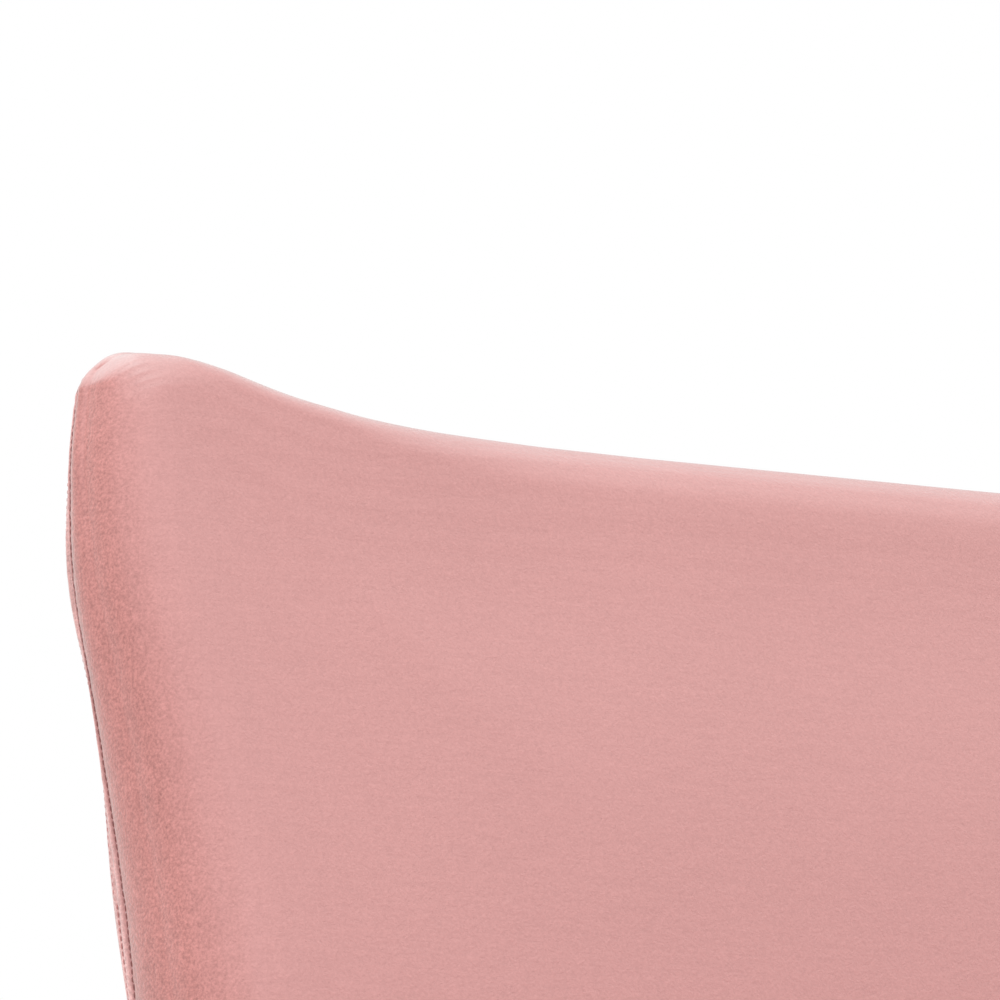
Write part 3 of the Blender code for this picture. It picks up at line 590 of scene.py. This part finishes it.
def build_inside_back():
    foot = 0.244
    fine_x = lines(-HALF, HALF, 0.006, 0.075, 0.0034)
    near_horn = np.arange(BACK_TOP - 0.030, BACK_TOP - 0.012, 0.0015)
    rows = lines(foot, BACK_TOP, 0.006)
    rows = rows[(rows < BACK_TOP - 0.075)]
    top_rows = np.linspace(BACK_TOP - 0.075, BACK_TOP, 23)
    arm_rows = ARM_ROW + np.array([-0.0006, 0.0006, 0.0022, 0.0048, 0.0085, 0.0125])
    rows = rows[(np.abs(rows - ARM_ROW) > 0.0135)]
    fine_z = np.array(sorted(set(np.round(np.concatenate([rows, top_rows, arm_rows, near_horn]), 6))))
    fine_y = np.concatenate([[0.0, 0.004, 0.009, 0.018, 0.032, 0.055, 0.09], np.linspace(0.15, 1.0, 14)])
    box, faces = grid(fine_x, fine_y, fine_z, [("y", False)])
    points = inside_back_shape(box)

    coarse_y = np.linspace(0, 1, 8)
    cbox, cfaces = grid(lines(-HALF, HALF, 0.012), coarse_y, lines(foot, BACK_TOP, 0.012), [("y", False)])
    cpoints = inside_back_shape(cbox)
    low = cbox[:, 2] < ARM_ROW + 0.02
    edge = (np.abs(cbox[:, 0]) > HALF - 0.08) & low
    pinned = (cbox[:, 1] < 0.35) | edge | (cbox[:, 2] < foot + 0.03)
    moved = swell(cpoints, cfaces, pinned, 0.006)
    if moved.any():
        calm = smooth(0.0, 0.09, np.minimum(HALF - np.abs(cbox[:, 0]), BACK_TOP - cbox[:, 2]))
        moved *= calm[:, None]
        points = points + carry(cbox * (1, 0.1, 1), moved, box * (1, 0.1, 1))
    cover = mesh_object("inside_back_cover", points, faces)
    keep_box(cover, box)
    subdivide(cover)

    # gathers that fan out from the rear seam, and one pinched pleat below each horn
    box = box_of(cover)
    co, no = points_of(cover.data), normals_of(cover.data)
    top = BACK_TOP - box[:, 2] < HALF - np.abs(box[:, 0])
    along = np.where(top, box[:, 0] + 2.0, box[:, 2])
    band = np.where(box[:, 1] > 0.999, 1.0, box[:, 1])
    from_seam = band * np.where(top, 0.042, 0.075)
    fade = np.exp(-from_seam / 0.009) * (from_seam > 0.0015)
    left = np.where(box[:, 0] < 0, 1.0, 0.0)
    gather = np.where(top, seam_wobble(along, 3, 0.011), seam_wobble(along + 0.5 * left, 5, 0.009))
    shift = 0.00045 * gather * fade
    pleat_z = BACK_TOP - 0.0165
    dz = box[:, 2] - pleat_z - 0.30 * from_seam
    reach = smooth(0.0, 0.001, from_seam) * (1 - smooth(0.006, 0.016, from_seam))
    side = ~top & (np.abs(box[:, 0]) > HALF - 0.001)
    shift = shift - np.where(side, 0.0009 * np.exp(-((dz / 0.0013) ** 2)) * reach, 0.0)
    shift = shift + np.where(side, 0.0010 * np.exp(-(((np.abs(dz) - 0.0036) / 0.0020) ** 2)) * reach, 0.0)
    set_points(cover, co + no * shift[:, None])
    dress(cover, "velvet")
    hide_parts("inside_back")
    return cover


def outside_back_shape(box):
    x, depth, z = box[:, 0], box[:, 1], box[:, 2]
    rear = depth > 0.999
    tx, tz, tf = HALF - np.abs(x), BACK_TOP - z, z
    near_x, near_z = 1.0 / np.maximum(tx, 1e-4) ** 3, 1.0 / np.maximum(tz, 1e-4) ** 3
    near_f = 1.0 / np.maximum(tf, 1e-4) ** 3
    total = near_x + near_z + near_f
    sx, sz, sf = near_x / total, near_z / total, near_f / total
    t = np.minimum(np.minimum(tx, tz), tf)
    inset, drop = arc_inset(t, REAR_ROUND, 0.02)
    push = np.where(rear, np.maximum(t - inset, 0.0), 0.0)
    px, pz = in_outline(x, z, CORNER)
    way = np.sqrt(sx * sx + sz * sz + sf * sf)
    px = np.clip(px + np.sign(x) * push * sx / way, -HALF, HALF)
    pz = pz + push * (sz - sf) / way
    wx, wz = to_outline(px, pz)
    panel = seam_depth(wz)
    y = np.where(rear, -drop, -panel + (panel - REAR_ROUND) * depth)
    y = y + np.where(rear, 0.003 * smooth(0.01, 0.12, t), 0.0)
    from_seam = np.where(rear, 1.0, depth * (panel - REAR_ROUND))
    roll = 0.0012 * np.exp(-((from_seam / 0.0009) ** 2))
    bow = np.where(rear, 0.0, 0.0006 * np.sin(math.pi * depth))
    wx = wx + np.sign(x) * (bow - roll) * (1 - sz)
    wz = wz + (bow - roll) * sz
    return to_world(np.stack([wx, y, wz], axis=1))


def row_behind_seam(behind):
    """Places on the outside back's flat box at a distance behind the seam, from one hem over to the other."""
    over = max(behind - (seam_depth(BACK_TOP) - REAR_ROUND), 0.0)
    side_z = np.linspace(0.012, BACK_TOP - over - 0.0001, 300)
    across = np.linspace(HALF - over, over - HALF, 220)[1:-1]
    width = seam_depth(side_z) - REAR_ROUND
    side_x = HALF - np.maximum(behind - width, 0.0)
    depth = np.minimum(behind / width, 1.0)
    x = np.concatenate([side_x, across, -side_x[::-1]])
    y = np.concatenate([depth, np.full_like(across, depth[-1]), depth[::-1]])
    z = np.concatenate([side_z, np.full_like(across, BACK_TOP - over), side_z[::-1]])
    return np.stack([x, y, z], axis=1)


def build_outside_back(inside_cover):
    xs = lines(-HALF, HALF, 0.010, 0.024, 0.002)
    zs = lines(0.0, BACK_TOP, 0.010, 0.024, 0.002)
    ys = np.array([0.0, 0.06, 0.13, 0.25, 0.4, 0.55, 0.7, 0.85, 1.0])
    box, faces = grid(xs, ys, zs)
    cover = mesh_object("outside_back_cover", outside_back_shape(box), faces)
    keep_box(cover, box)
    subdivide(cover)
    box = box_of(cover)
    co, no = points_of(cover.data), normals_of(cover.data)
    top = BACK_TOP - box[:, 2] < HALF - np.abs(box[:, 0])
    along = np.where(top, box[:, 0] + 2.0, box[:, 2] + np.where(box[:, 0] < 0, 0.5, 0.0))
    rear = np.where(box[:, 1] > 0.999, 1.0, 0.0)
    edge = np.minimum(np.minimum(HALF - np.abs(box[:, 0]), BACK_TOP - box[:, 2]), box[:, 2])
    from_seam = np.clip(box[:, 1], 0, 1) * (seam_depth(box[:, 2]) - REAR_ROUND) + rear * edge
    pull = seam_wobble(along, 11, 0.0085) * np.exp(-(((from_seam - 0.003) / 0.003) ** 2))
    groove = 0.0005 * np.exp(-(((from_seam - TOPSTITCH) / 0.0010) ** 2))
    soft = rear * 0.0012 * np.sin(along / 0.021) * np.exp(-edge / 0.03)
    set_points(cover, co + no * (0.0003 * pull - groove + soft)[:, None])
    dress(cover, "velvet", back_velvet)
    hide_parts("outside_back")

    # two rows of thread: the topstitch behind the seam, and the seam's own just in front of it, made dark as a
    # painted shadow line in the seam
    near_cover = face_tree(cover)
    near = [near_cover.find_nearest(p) for p in outside_back_shape(row_behind_seam(TOPSTITCH)).tolist()]
    path, out = (np.array([hit[k] for hit in near]) for k in (0, 1))
    dress(stitches("back_topstitch", path, out), "velvet", thread)
    ahead = face_tree(inside_cover)
    starts = path + out * 0.006 - np.array([0.0, TOPSTITCH + SEAM_THREAD, 0.0])
    hits = [ahead.ray_cast(p, d, 0.02)[0] for p, d in zip(starts.tolist(), (-out).tolist())]
    met = np.array([hit is not None for hit in hits])
    path = np.array([hit for hit in hits if hit is not None])
    dress(stitches("back_seam_thread", path, out[met], length=0.0031, radius=0.00046), "velvet", seam_thread_and_painted_shadow)


# ---------------------------------------------------------------- boxed pads
def rounded(box, lo, hi, radius):
    """Rounds the edges of a box; lo, hi and radius are three numbers each."""
    lo, hi, radius = (np.array(v, float) for v in (lo, hi, radius))
    inner = np.clip(box, lo + radius, hi - radius)
    d = (box - inner) / radius
    length = np.linalg.norm(d, axis=1)
    most = np.abs(d).max(axis=1)
    scale = np.where(length > 1e-9, most / np.maximum(length, 1e-9), 1.0)
    return inner + d * scale[:, None] * radius


def path_on(cover, spots):
    """The points of a finished cover nearest to places on its flat box, with their normals."""
    box, co, no = box_of(cover), points_of(cover.data), normals_of(cover.data)
    tree = KDTree(len(box))
    for i, p in enumerate(box):
        tree.insert(p, i)
    tree.balance()
    path, out = [], []
    for spot in spots:
        total, normal, weight = np.zeros(3), np.zeros(3), 0.0
        for _, j, d in tree.find_n(spot, 4):
            w = 1.0 / (d * d + 1e-8)
            total += co[j] * w
            normal += no[j] * w
            weight += w
        path.append(total / weight)
        out.append(normal / weight)
    return np.array(path), np.array(out)


STITCH_ROW = 0.0065  # distance of a pad's stitch row from its seam
PAD_STITCH = (0.0034, 0.0026)  # pitch and length of a pad's stitches
HEM_ROW = 0.019  # height of a hem's stitches above the lower edge
ROW_STEP = 0.004  # between the spots that a row is laid through


def ring_on(lo, hi, fixed, at):
    """Spots round a rectangle on a box's face: fixed is the axis of the face, at its value."""
    a, b = [n for n in range(3) if n != fixed]
    corners = [(lo[a], lo[b]), (hi[a], lo[b]), (hi[a], hi[b]), (lo[a], hi[b])]
    spots = []
    for k in range(4):
        p, q = np.array(corners[k]), np.array(corners[(k + 1) % 4])
        for s in np.arange(0, 1, ROW_STEP / np.linalg.norm(q - p)):
            spot = np.zeros(3)
            spot[fixed] = at
            spot[a], spot[b] = p + (q - p) * s
            spots.append(spot)
    return spots + spots[:1]


def build_seat_cushion():
    lo = np.array([cush_lo.x + 0.004, cush_lo.y + 0.002, cush_lo.z + 0.001])
    hi = np.array([cush_hi.x - 0.004, cush_hi.y - 0.001, cush_hi.z - 0.014])
    size = hi - lo
    seam = 0.010  # the seams run just over the edges

    def shape(box):
        p = rounded(box, lo, hi, (0.019, 0.019, 0.019))
        u, v, w = ((box - lo) / size).T
        edge = np.minimum(np.minimum(u, 1 - u) * size[0], np.minimum(v, 1 - v) * size[1])
        rise = 0.019 * smooth(-0.01, 0.13, edge)
        side_x = 4 * w * (1 - w) * np.sin(math.pi * np.clip(v, 0, 1)) ** 0.5
        side_y = 4 * w * (1 - w) * np.sin(math.pi * np.clip(u, 0, 1)) ** 0.5
        lean = smooth(0.4, 1.0, v) * w * w * smooth(0.0, 0.1, np.minimum(u, 1 - u))
        p[:, 2] += np.where(w > 0.5, rise * (w - 0.5) * 2, 0.0)
        p[:, 0] += np.sign(u - 0.5) * 0.003 * side_x * (np.abs(u - 0.5) > 0.499)
        p[:, 1] += np.where(v < 0.001, -0.005 * side_y, 0.0)
        p[:, 1] += np.where(v > 0.5, 0.016 * lean, 0.0)
        return p

    cbox, cfaces = grid(lines(lo[0], hi[0], 0.013), lines(lo[1], hi[1], 0.013), lines(lo[2], hi[2], 0.013))
    cpoints = shape(cbox)
    pinned = cbox[:, 2] < lo[2] + 0.004
    moved = swell(cpoints, cfaces, pinned, 0.010, pressure=3.0)
    moved[:, 0] *= 0.3
    marks_z = (hi[2] - seam, lo[2] + seam)
    close = [v + d for v in marks_z for d in (-0.003, -0.001, 0.001, 0.003)]
    xs = lines(lo[0], hi[0], 0.008, 0.024, 0.003)
    ys = lines(lo[1], hi[1], 0.008, 0.024, 0.003)
    zs = lines(lo[2], hi[2], 0.007, 0.02, 0.004, close)
    box, faces = grid(xs, ys, zs)
    points = shape(box)
    if moved.any():
        points = points + carry(cbox, moved, box)
    cover = mesh_object("seat_cushion_cover", points, faces)
    keep_box(cover, box)
    subdivide(cover)
    box = box_of(cover)
    co, no = points_of(cover.data), normals_of(cover.data)
    walls = (np.abs(box[:, 0] - lo[0]) < 1e-3) | (np.abs(box[:, 0] - hi[0]) < 1e-3) | \
            (np.abs(box[:, 1] - lo[1]) < 1e-3) | (np.abs(box[:, 1] - hi[1]) < 1e-3)
    along = box[:, 0] + box[:, 1]
    shift = np.zeros(len(box))
    for k, level in enumerate(marks_z):
        dz = np.abs(box[:, 2] - level)
        welt = 0.0008 * np.exp(-(((dz - 0.004) / 0.003) ** 2)) - 0.0022 * np.exp(-((dz / 0.0012) ** 2))
        gather = 0.0007 * seam_wobble(along, 20 + k, 0.013) * np.exp(-dz / 0.010)
        shift += np.where(walls, welt + gather, 0.0)
    top = box[:, 2] > hi[2] - 1e-3
    edge = np.minimum(np.minimum(box[:, 0] - lo[0], hi[0] - box[:, 0]),
                      np.minimum(box[:, 1] - lo[1], hi[1] - box[:, 1]))
    shift += np.where(top, 0.0009 * seam_wobble(along, 23, 0.021) * np.exp(-edge / 0.02), 0.0)
    set_points(cover, co + no * shift[:, None])
    dress(cover, "velvet")
    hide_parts("seat_cushion")
    for number, level in enumerate(marks_z):
        toward = -STITCH_ROW if number == 0 else STITCH_ROW
        path, out = path_on(cover, ring_on(lo, hi, 2, level + toward))
        row = stitches(f"seat_cushion_topstitch_{number + 1}", path + out * 0.00005, out, *PAD_STITCH)
        dress(row, "velvet", thread)


def arm_rear(z):
    """Where an arm ends against the outside back, at a height above the floor."""
    return FOOT_Y - (PANEL + SEAM_GAP) / COS + (z - HEM) * math.tan(slope)


def build_arms():
    lo = np.array([arm_lo.x + 0.0008, arm_lo.y + 0.001, arm_lo.z])
    hi = np.array([arm_hi.x - 0.001, 0.240, arm_hi.z - 0.004])
    size = hi - lo

    def shape(box):
        p = rounded(box, lo, hi, (0.017, 0.010, 0.017))
        u, v, w = ((box - lo) / size).T
        p[:, 1] = lo[1] + (p[:, 1] - lo[1]) * (arm_rear(p[:, 2]) - 0.0008 - lo[1]) / size[1]
        mid = lo[0] + size[0] / 2
        belly = np.sin(math.pi * np.clip(w, 0, 1)) ** 0.6 * np.sin(math.pi * np.clip(v, 0.0, 1)) ** 0.5
        p[:, 0] += np.where(u > 0.999, 0.003 * belly, 0.0)
        crown = (1 - ((p[:, 0] - mid) / (size[0] / 2)) ** 2).clip(0) * smooth(0.0, 0.12, v)
        p[:, 2] += np.where(w > 0.999, 0.006 * crown, 0.0)
        face = (1 - (2 * u - 1) ** 2).clip(0) * smooth(0.0, 0.15, w) * smooth(0.0, 0.1, 1 - w)
        p[:, 1] -= np.where(v < 0.001, 0.004 * face, 0.0)
        return p

    cbox, cfaces = grid(lines(lo[0], hi[0], 0.012), lines(lo[1], hi[1], 0.014), lines(lo[2], hi[2], 0.014))
    pinned = (cbox[:, 2] < lo[2] + 0.01) | (cbox[:, 0] < lo[0] + 0.001) | (cbox[:, 1] > hi[1] - 0.05) | \
             (np.abs(cbox[:, 1] - lo[1]) < 0.001)
    cpoints = shape(cbox)
    moved = swell(cpoints, cfaces, pinned, 0.006, pressure=3.0)
    seam_y = lo[1] + 0.008
    xs = lines(lo[0], hi[0], 0.006, 0.018, 0.003)
    ys = lines(lo[1], hi[1], 0.009, 0.014, 0.0028, [seam_y + d for d in (-0.0022, -0.0008, 0.0008, 0.0022)])
    zs = lines(lo[2], hi[2], 0.009, 0.018, 0.003)
    box, faces = grid(xs, ys, zs)
    points = shape(box)
    if moved.any():
        points = points + carry(cbox, moved, box)
    cover = mesh_object("arm_left_cover", points, faces)
    keep_box(cover, box)
    subdivide(cover)
    box = box_of(cover)
    co, no = points_of(cover.data), normals_of(cover.data)
    sides = (np.abs(box[:, 0] - lo[0]) < 1e-3) | (np.abs(box[:, 0] - hi[0]) < 1e-3)
    dy = np.abs(box[:, 1] - seam_y)
    along = box[:, 0] * 0.7 + box[:, 2]
    welt = 0.0007 * np.exp(-(((dy - 0.0035) / 0.0028) ** 2)) - 0.0020 * np.exp(-((dy / 0.0011) ** 2))
    gather = 0.0006 * seam_wobble(along, 31, 0.012) * np.exp(-dy / 0.012)
    shift = np.where(sides | (box[:, 2] > hi[2] - 1e-3), welt + gather, 0.0)
    hem = box[:, 2] - lo[2] - 0.016
    shift += np.where(box[:, 2] > lo[2] + 1e-3, -0.0008 * np.exp(-((hem / 0.0016) ** 2)), 0.0)
    set_points(cover, co + no * shift[:, None])
    row_y, hem_z = seam_y + STITCH_ROW, lo[2] + HEM_ROW
    spots = [np.array([lo[0], row_y, z]) for z in np.arange(lo[2] + 0.01, hi[2], ROW_STEP)]
    spots += [np.array([x, row_y, hi[2]]) for x in np.arange(lo[0], hi[0], ROW_STEP)]
    spots += [np.array([hi[0], row_y, z]) for z in np.arange(hi[2], lo[2] + 0.01, -ROW_STEP)]
    path, out = path_on(cover, spots)
    hem_spots = [np.array([hi[0], y, hem_z]) for y in np.arange(hi[1] - 0.01, lo[1] + 0.012, -ROW_STEP)]
    hem_spots += [np.array([x, lo[1], hem_z]) for x in np.arange(hi[0] - 0.008, lo[0] + 0.008, -ROW_STEP)]
    hem_path, hem_out = path_on(cover, hem_spots)
    dress(cover, "velvet")
    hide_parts("arm_cover_left")
    flip = np.array([-1.0, 1.0, 1.0])
    quads = [tuple(reversed(p.vertices)) for p in cover.data.polygons]
    right = mesh_object("arm_right_cover", points_of(cover.data) * flip, quads)
    dress(right, "velvet")
    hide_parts("arm_cover_right")
    for side, mirror in (("left", np.ones(3)), ("right", flip)):
        for row, at, up in (("topstitch", path, out), ("hem_stitch", hem_path, hem_out)):
            row = stitches(f"arm_{side}_{row}", (at + up * 0.0001) * mirror, up * mirror, *PAD_STITCH)
            dress(row, "velvet", thread)


def build_apron():
    lo = np.array([apron_lo.x + 0.0006, apron_lo.y + 0.002, apron_lo.z])
    hi = np.array([apron_hi.x - 0.0006, apron_hi.y, apron_hi.z])
    size = hi - lo
    box, faces = grid(lines(lo[0], hi[0], 0.008, 0.02, 0.004), lines(lo[1], hi[1], 0.008, 0.012, 0.004),
                      lines(lo[2], hi[2], 0.006, 0.024, 0.002))

    def shape(b):
        p = rounded(b, lo, hi, (0.006, 0.010, 0.010))
        u, v, w = ((b - lo) / size).T
        bulge = (np.sin(math.pi * np.clip(u, 0, 1)) ** 0.4) * np.sin(math.pi * np.clip(w, 0, 1)) ** 0.7
        p[:, 1] -= np.where(v < 0.001, 0.0035 * bulge, 0.0)
        return p

    cover = mesh_object("front_apron_cover", shape(box), faces)
    keep_box(cover, box)
    subdivide(cover)
    box = box_of(cover)
    co, no = points_of(cover.data), normals_of(cover.data)
    front = box[:, 1] < lo[1] + 1e-3
    hem = box[:, 2] - lo[2] - 0.016
    groove = -0.0009 * np.exp(-((hem / 0.0015) ** 2))
    gather = 0.0006 * seam_wobble(box[:, 0], 41, 0.017) * np.exp(-np.abs(hem) / 0.012)
    ripple = 0.0004 * seam_wobble(box[:, 0], 43, 0.043) * smooth(0.0, 0.1, hi[2] - box[:, 2])
    shift = np.where(front, groove + gather + ripple, 0.0)
    set_points(cover, co + no * shift[:, None])
    dress(cover, "velvet")
    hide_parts("front_apron")
    spots = [np.array([x, lo[1], lo[2] + HEM_ROW]) for x in np.arange(lo[0] + 0.006, hi[0] - 0.006, ROW_STEP)]
    path, out = path_on(cover, spots)
    row = stitches("front_apron_hem_stitch", path + out * 0.0001, out, *PAD_STITCH)
    dress(row, "velvet", thread)


QUILT = 0.0865  # side of the deck's quilted squares


def build_deck():
    """The platform under the cushion: ticking over wadding, quilted in rows."""
    lo, hi = np.array(deck_lo), np.array(deck_hi)
    box, faces = grid(lines(lo[0], hi[0], 0.012, 0.012, 0.003), lines(lo[1], hi[1], 0.012, 0.012, 0.003),
                      lines(lo[2], hi[2], 0.003))
    p = rounded(box, lo, hi, (0.004, 0.004, 0.004))
    top = box[:, 2] > hi[2] - 1e-5
    across, back = (np.abs(np.sin(math.pi * (box[:, k] - lo[k]) / QUILT)) for k in (0, 1))
    p[:, 2] -= np.where(top, 0.0022 * (1 - (across * back) ** 0.4), 0.0)
    cover = mesh_object("seat_deck_cover", p, faces)
    subdivide(cover)
    dress(cover, "ticking")
    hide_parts("seat_deck")


BOLT_HOLE = 0.005  # half width of the holes that the carriage bolts pass through


def build_dust_cover():
    """A thin black cloth tacked under the seat frame, sagging a little between rails and mechanism."""
    lo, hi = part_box("dust_cover")
    points, faces = [], []
    thick = 0.0006
    bolts = [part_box(f"carriage_bolt_{end}_{side}") for end in ("front", "rear") for side in ("left", "right")]
    centres = [((b[0].x + b[1].x) / 2, (b[0].y + b[1].y) / 2) for b in bolts]
    xs, ys = (lines(lo[k], hi[k], 0.01, extra=[c[k] + d for c in centres for d in (-BOLT_HOLE, BOLT_HOLE)])
              for k in (0, 1))
    hole = set()
    for i in range(len(xs) - 1):
        for j in range(len(ys) - 1):
            mx, my = (xs[i] + xs[i + 1]) / 2, (ys[j] + ys[j + 1]) / 2
            if any(abs(mx - c[0]) < BOLT_HOLE and abs(my - c[1]) < BOLT_HOLE for c in centres):
                hole.add((i, j))
    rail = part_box("carriage_rail_left")
    inner = min(abs(rail[0].x), abs(rail[1].x)) - 0.008
    for level in (0, 1):
        for y in ys:
            for x in xs:
                sag = smooth(0.0, 0.07, inner - abs(x)) * smooth(0.02, 0.12, min(y - lo.y, hi.y - y))
                ripple = 0.0008 * math.sin(x * 60 + 1.3) * math.sin(y * 47) * sag
                points.append((x, y, hi.z - 0.0001 - level * thick - 0.004 * sag + ripple))
    nx, ny = len(xs), len(ys)
    used = [(i, j) for i in range(nx - 1) for j in range(ny - 1) if (i, j) not in hole]
    directed = {}
    for i, j in used:
        a, b, c, d = j * nx + i, j * nx + i + 1, (j + 1) * nx + i + 1, (j + 1) * nx + i
        faces.append((a, b, c, d))
        faces.append(tuple(v + nx * ny for v in (d, c, b, a)))
        for p, q in ((a, b), (b, c), (c, d), (d, a)):
            directed[(p, q)] = True
    for p, q in directed:
        if (q, p) not in directed:
            faces.append((q, p, p + nx * ny, q + nx * ny))
    cover = mesh_object("dust_cloth_sheet", points, faces)
    dress(cover, "dust_cloth")
    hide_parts("dust_cover")


build_outside_back(build_inside_back())
build_seat_cushion()
build_arms()
build_apron()
build_deck()
build_dust_cover()

# ---------------------------------------------------------------- the hard CAD parts
for name, obj in nodes.items():
    if not obj.hide_render:
        obj.data.materials.clear()
        obj.data.materials.append(looks[slot_of_node[name]])

# ---------------------------------------------------------------- floor, light and camera
floor = mesh_object("floor", [(-6, -6, 0), (6, -6, 0), (6, 6, 0), (-6, 6, 0)], [(0, 1, 2, 3)])
pale = Surface("pale_floor", (0.86, 0.85, 0.84), 0.7)
tone = pale.spread(pale.noise(3.0, 4.0), 0.3, 0.7)
floor.data.materials.append(pale.set(Base_Color=pale.mix(tone, (0.87, 0.86, 0.85), (0.84, 0.83, 0.82))))

world = bpy.data.worlds.new("studio")
bpy.context.scene.world = world
world.use_nodes = True
tree = world.node_tree
tree.nodes.clear()
rays = tree.nodes.new("ShaderNodeLightPath")
ambient = tree.nodes.new("ShaderNodeBackground")
ambient.inputs["Color"].default_value = (1.0, 0.97, 0.96, 1.0)
ambient.inputs["Strength"].default_value = 0.74
white = tree.nodes.new("ShaderNodeBackground")
white.inputs["Color"].default_value = (1.0, 1.0, 1.0, 1.0)
choose = tree.nodes.new("ShaderNodeMixShader")
result = tree.nodes.new("ShaderNodeOutputWorld")
tree.links.new(rays.outputs["Is Camera Ray"], choose.inputs[0])
tree.links.new(ambient.outputs[0], choose.inputs[1])
tree.links.new(white.outputs[0], choose.inputs[2])
tree.links.new(choose.outputs[0], result.inputs["Surface"])


def direction(azimuth, elevation):
    """Unit vector towards a place in degrees: azimuth 0 is in front, 90 on the sitter's left."""
    a, e = math.radians(azimuth), math.radians(elevation)
    return Vector((math.sin(a) * math.cos(e), -math.cos(a) * math.cos(e), math.sin(e)))


def sun(name, azimuth, elevation, strength, color, spread):
    """Soft light from a direction."""
    data = bpy.data.lights.new(name, "SUN")
    data.energy = strength
    data.color = color
    data.angle = math.radians(spread)
    lamp = bpy.data.objects.new(name, data)
    lamp.rotation_euler = direction(azimuth, elevation).to_track_quat("Z", "Y").to_euler()
    bpy.context.scene.collection.objects.link(lamp)


sun("top_light", -35.0, 76.0, 2.2, (0.95, 0.99, 1.0), 55.0)
sun("rim_light", -120.0, 35.0, 0.8, (0.97, 0.99, 1.0), 50.0)
sun("front_light", 12.0, 22.0, 0.30, (1.0, 0.97, 0.95), 70.0)
bpy.context.scene.view_settings.view_transform = "Standard"

camera_data = bpy.data.cameras.new("camera")
camera_data.lens = 252.46
camera_data.sensor_width = 36.0
camera_data.clip_start, camera_data.clip_end = 0.05, 50.0
camera = bpy.data.objects.new("camera", camera_data)
bpy.context.scene.collection.objects.link(camera)
back_way = direction(-32.59, -8.355)
top_of_rail = Vector(to_world(np.array([[0.0, -0.035, BACK_TOP - 0.0275]]))[0])
quat = (-back_way).to_track_quat("-Z", "Y")
right_way, up_way = quat @ Vector((1, 0, 0)), quat @ Vector((0, 1, 0))
aim = top_of_rail - right_way * 0.1415 - up_way * 0.0104
camera.location = aim + back_way * 3.0
camera.rotation_mode = "QUATERNION"
camera.rotation_quaternion = quat
bpy.context.scene.camera = camera
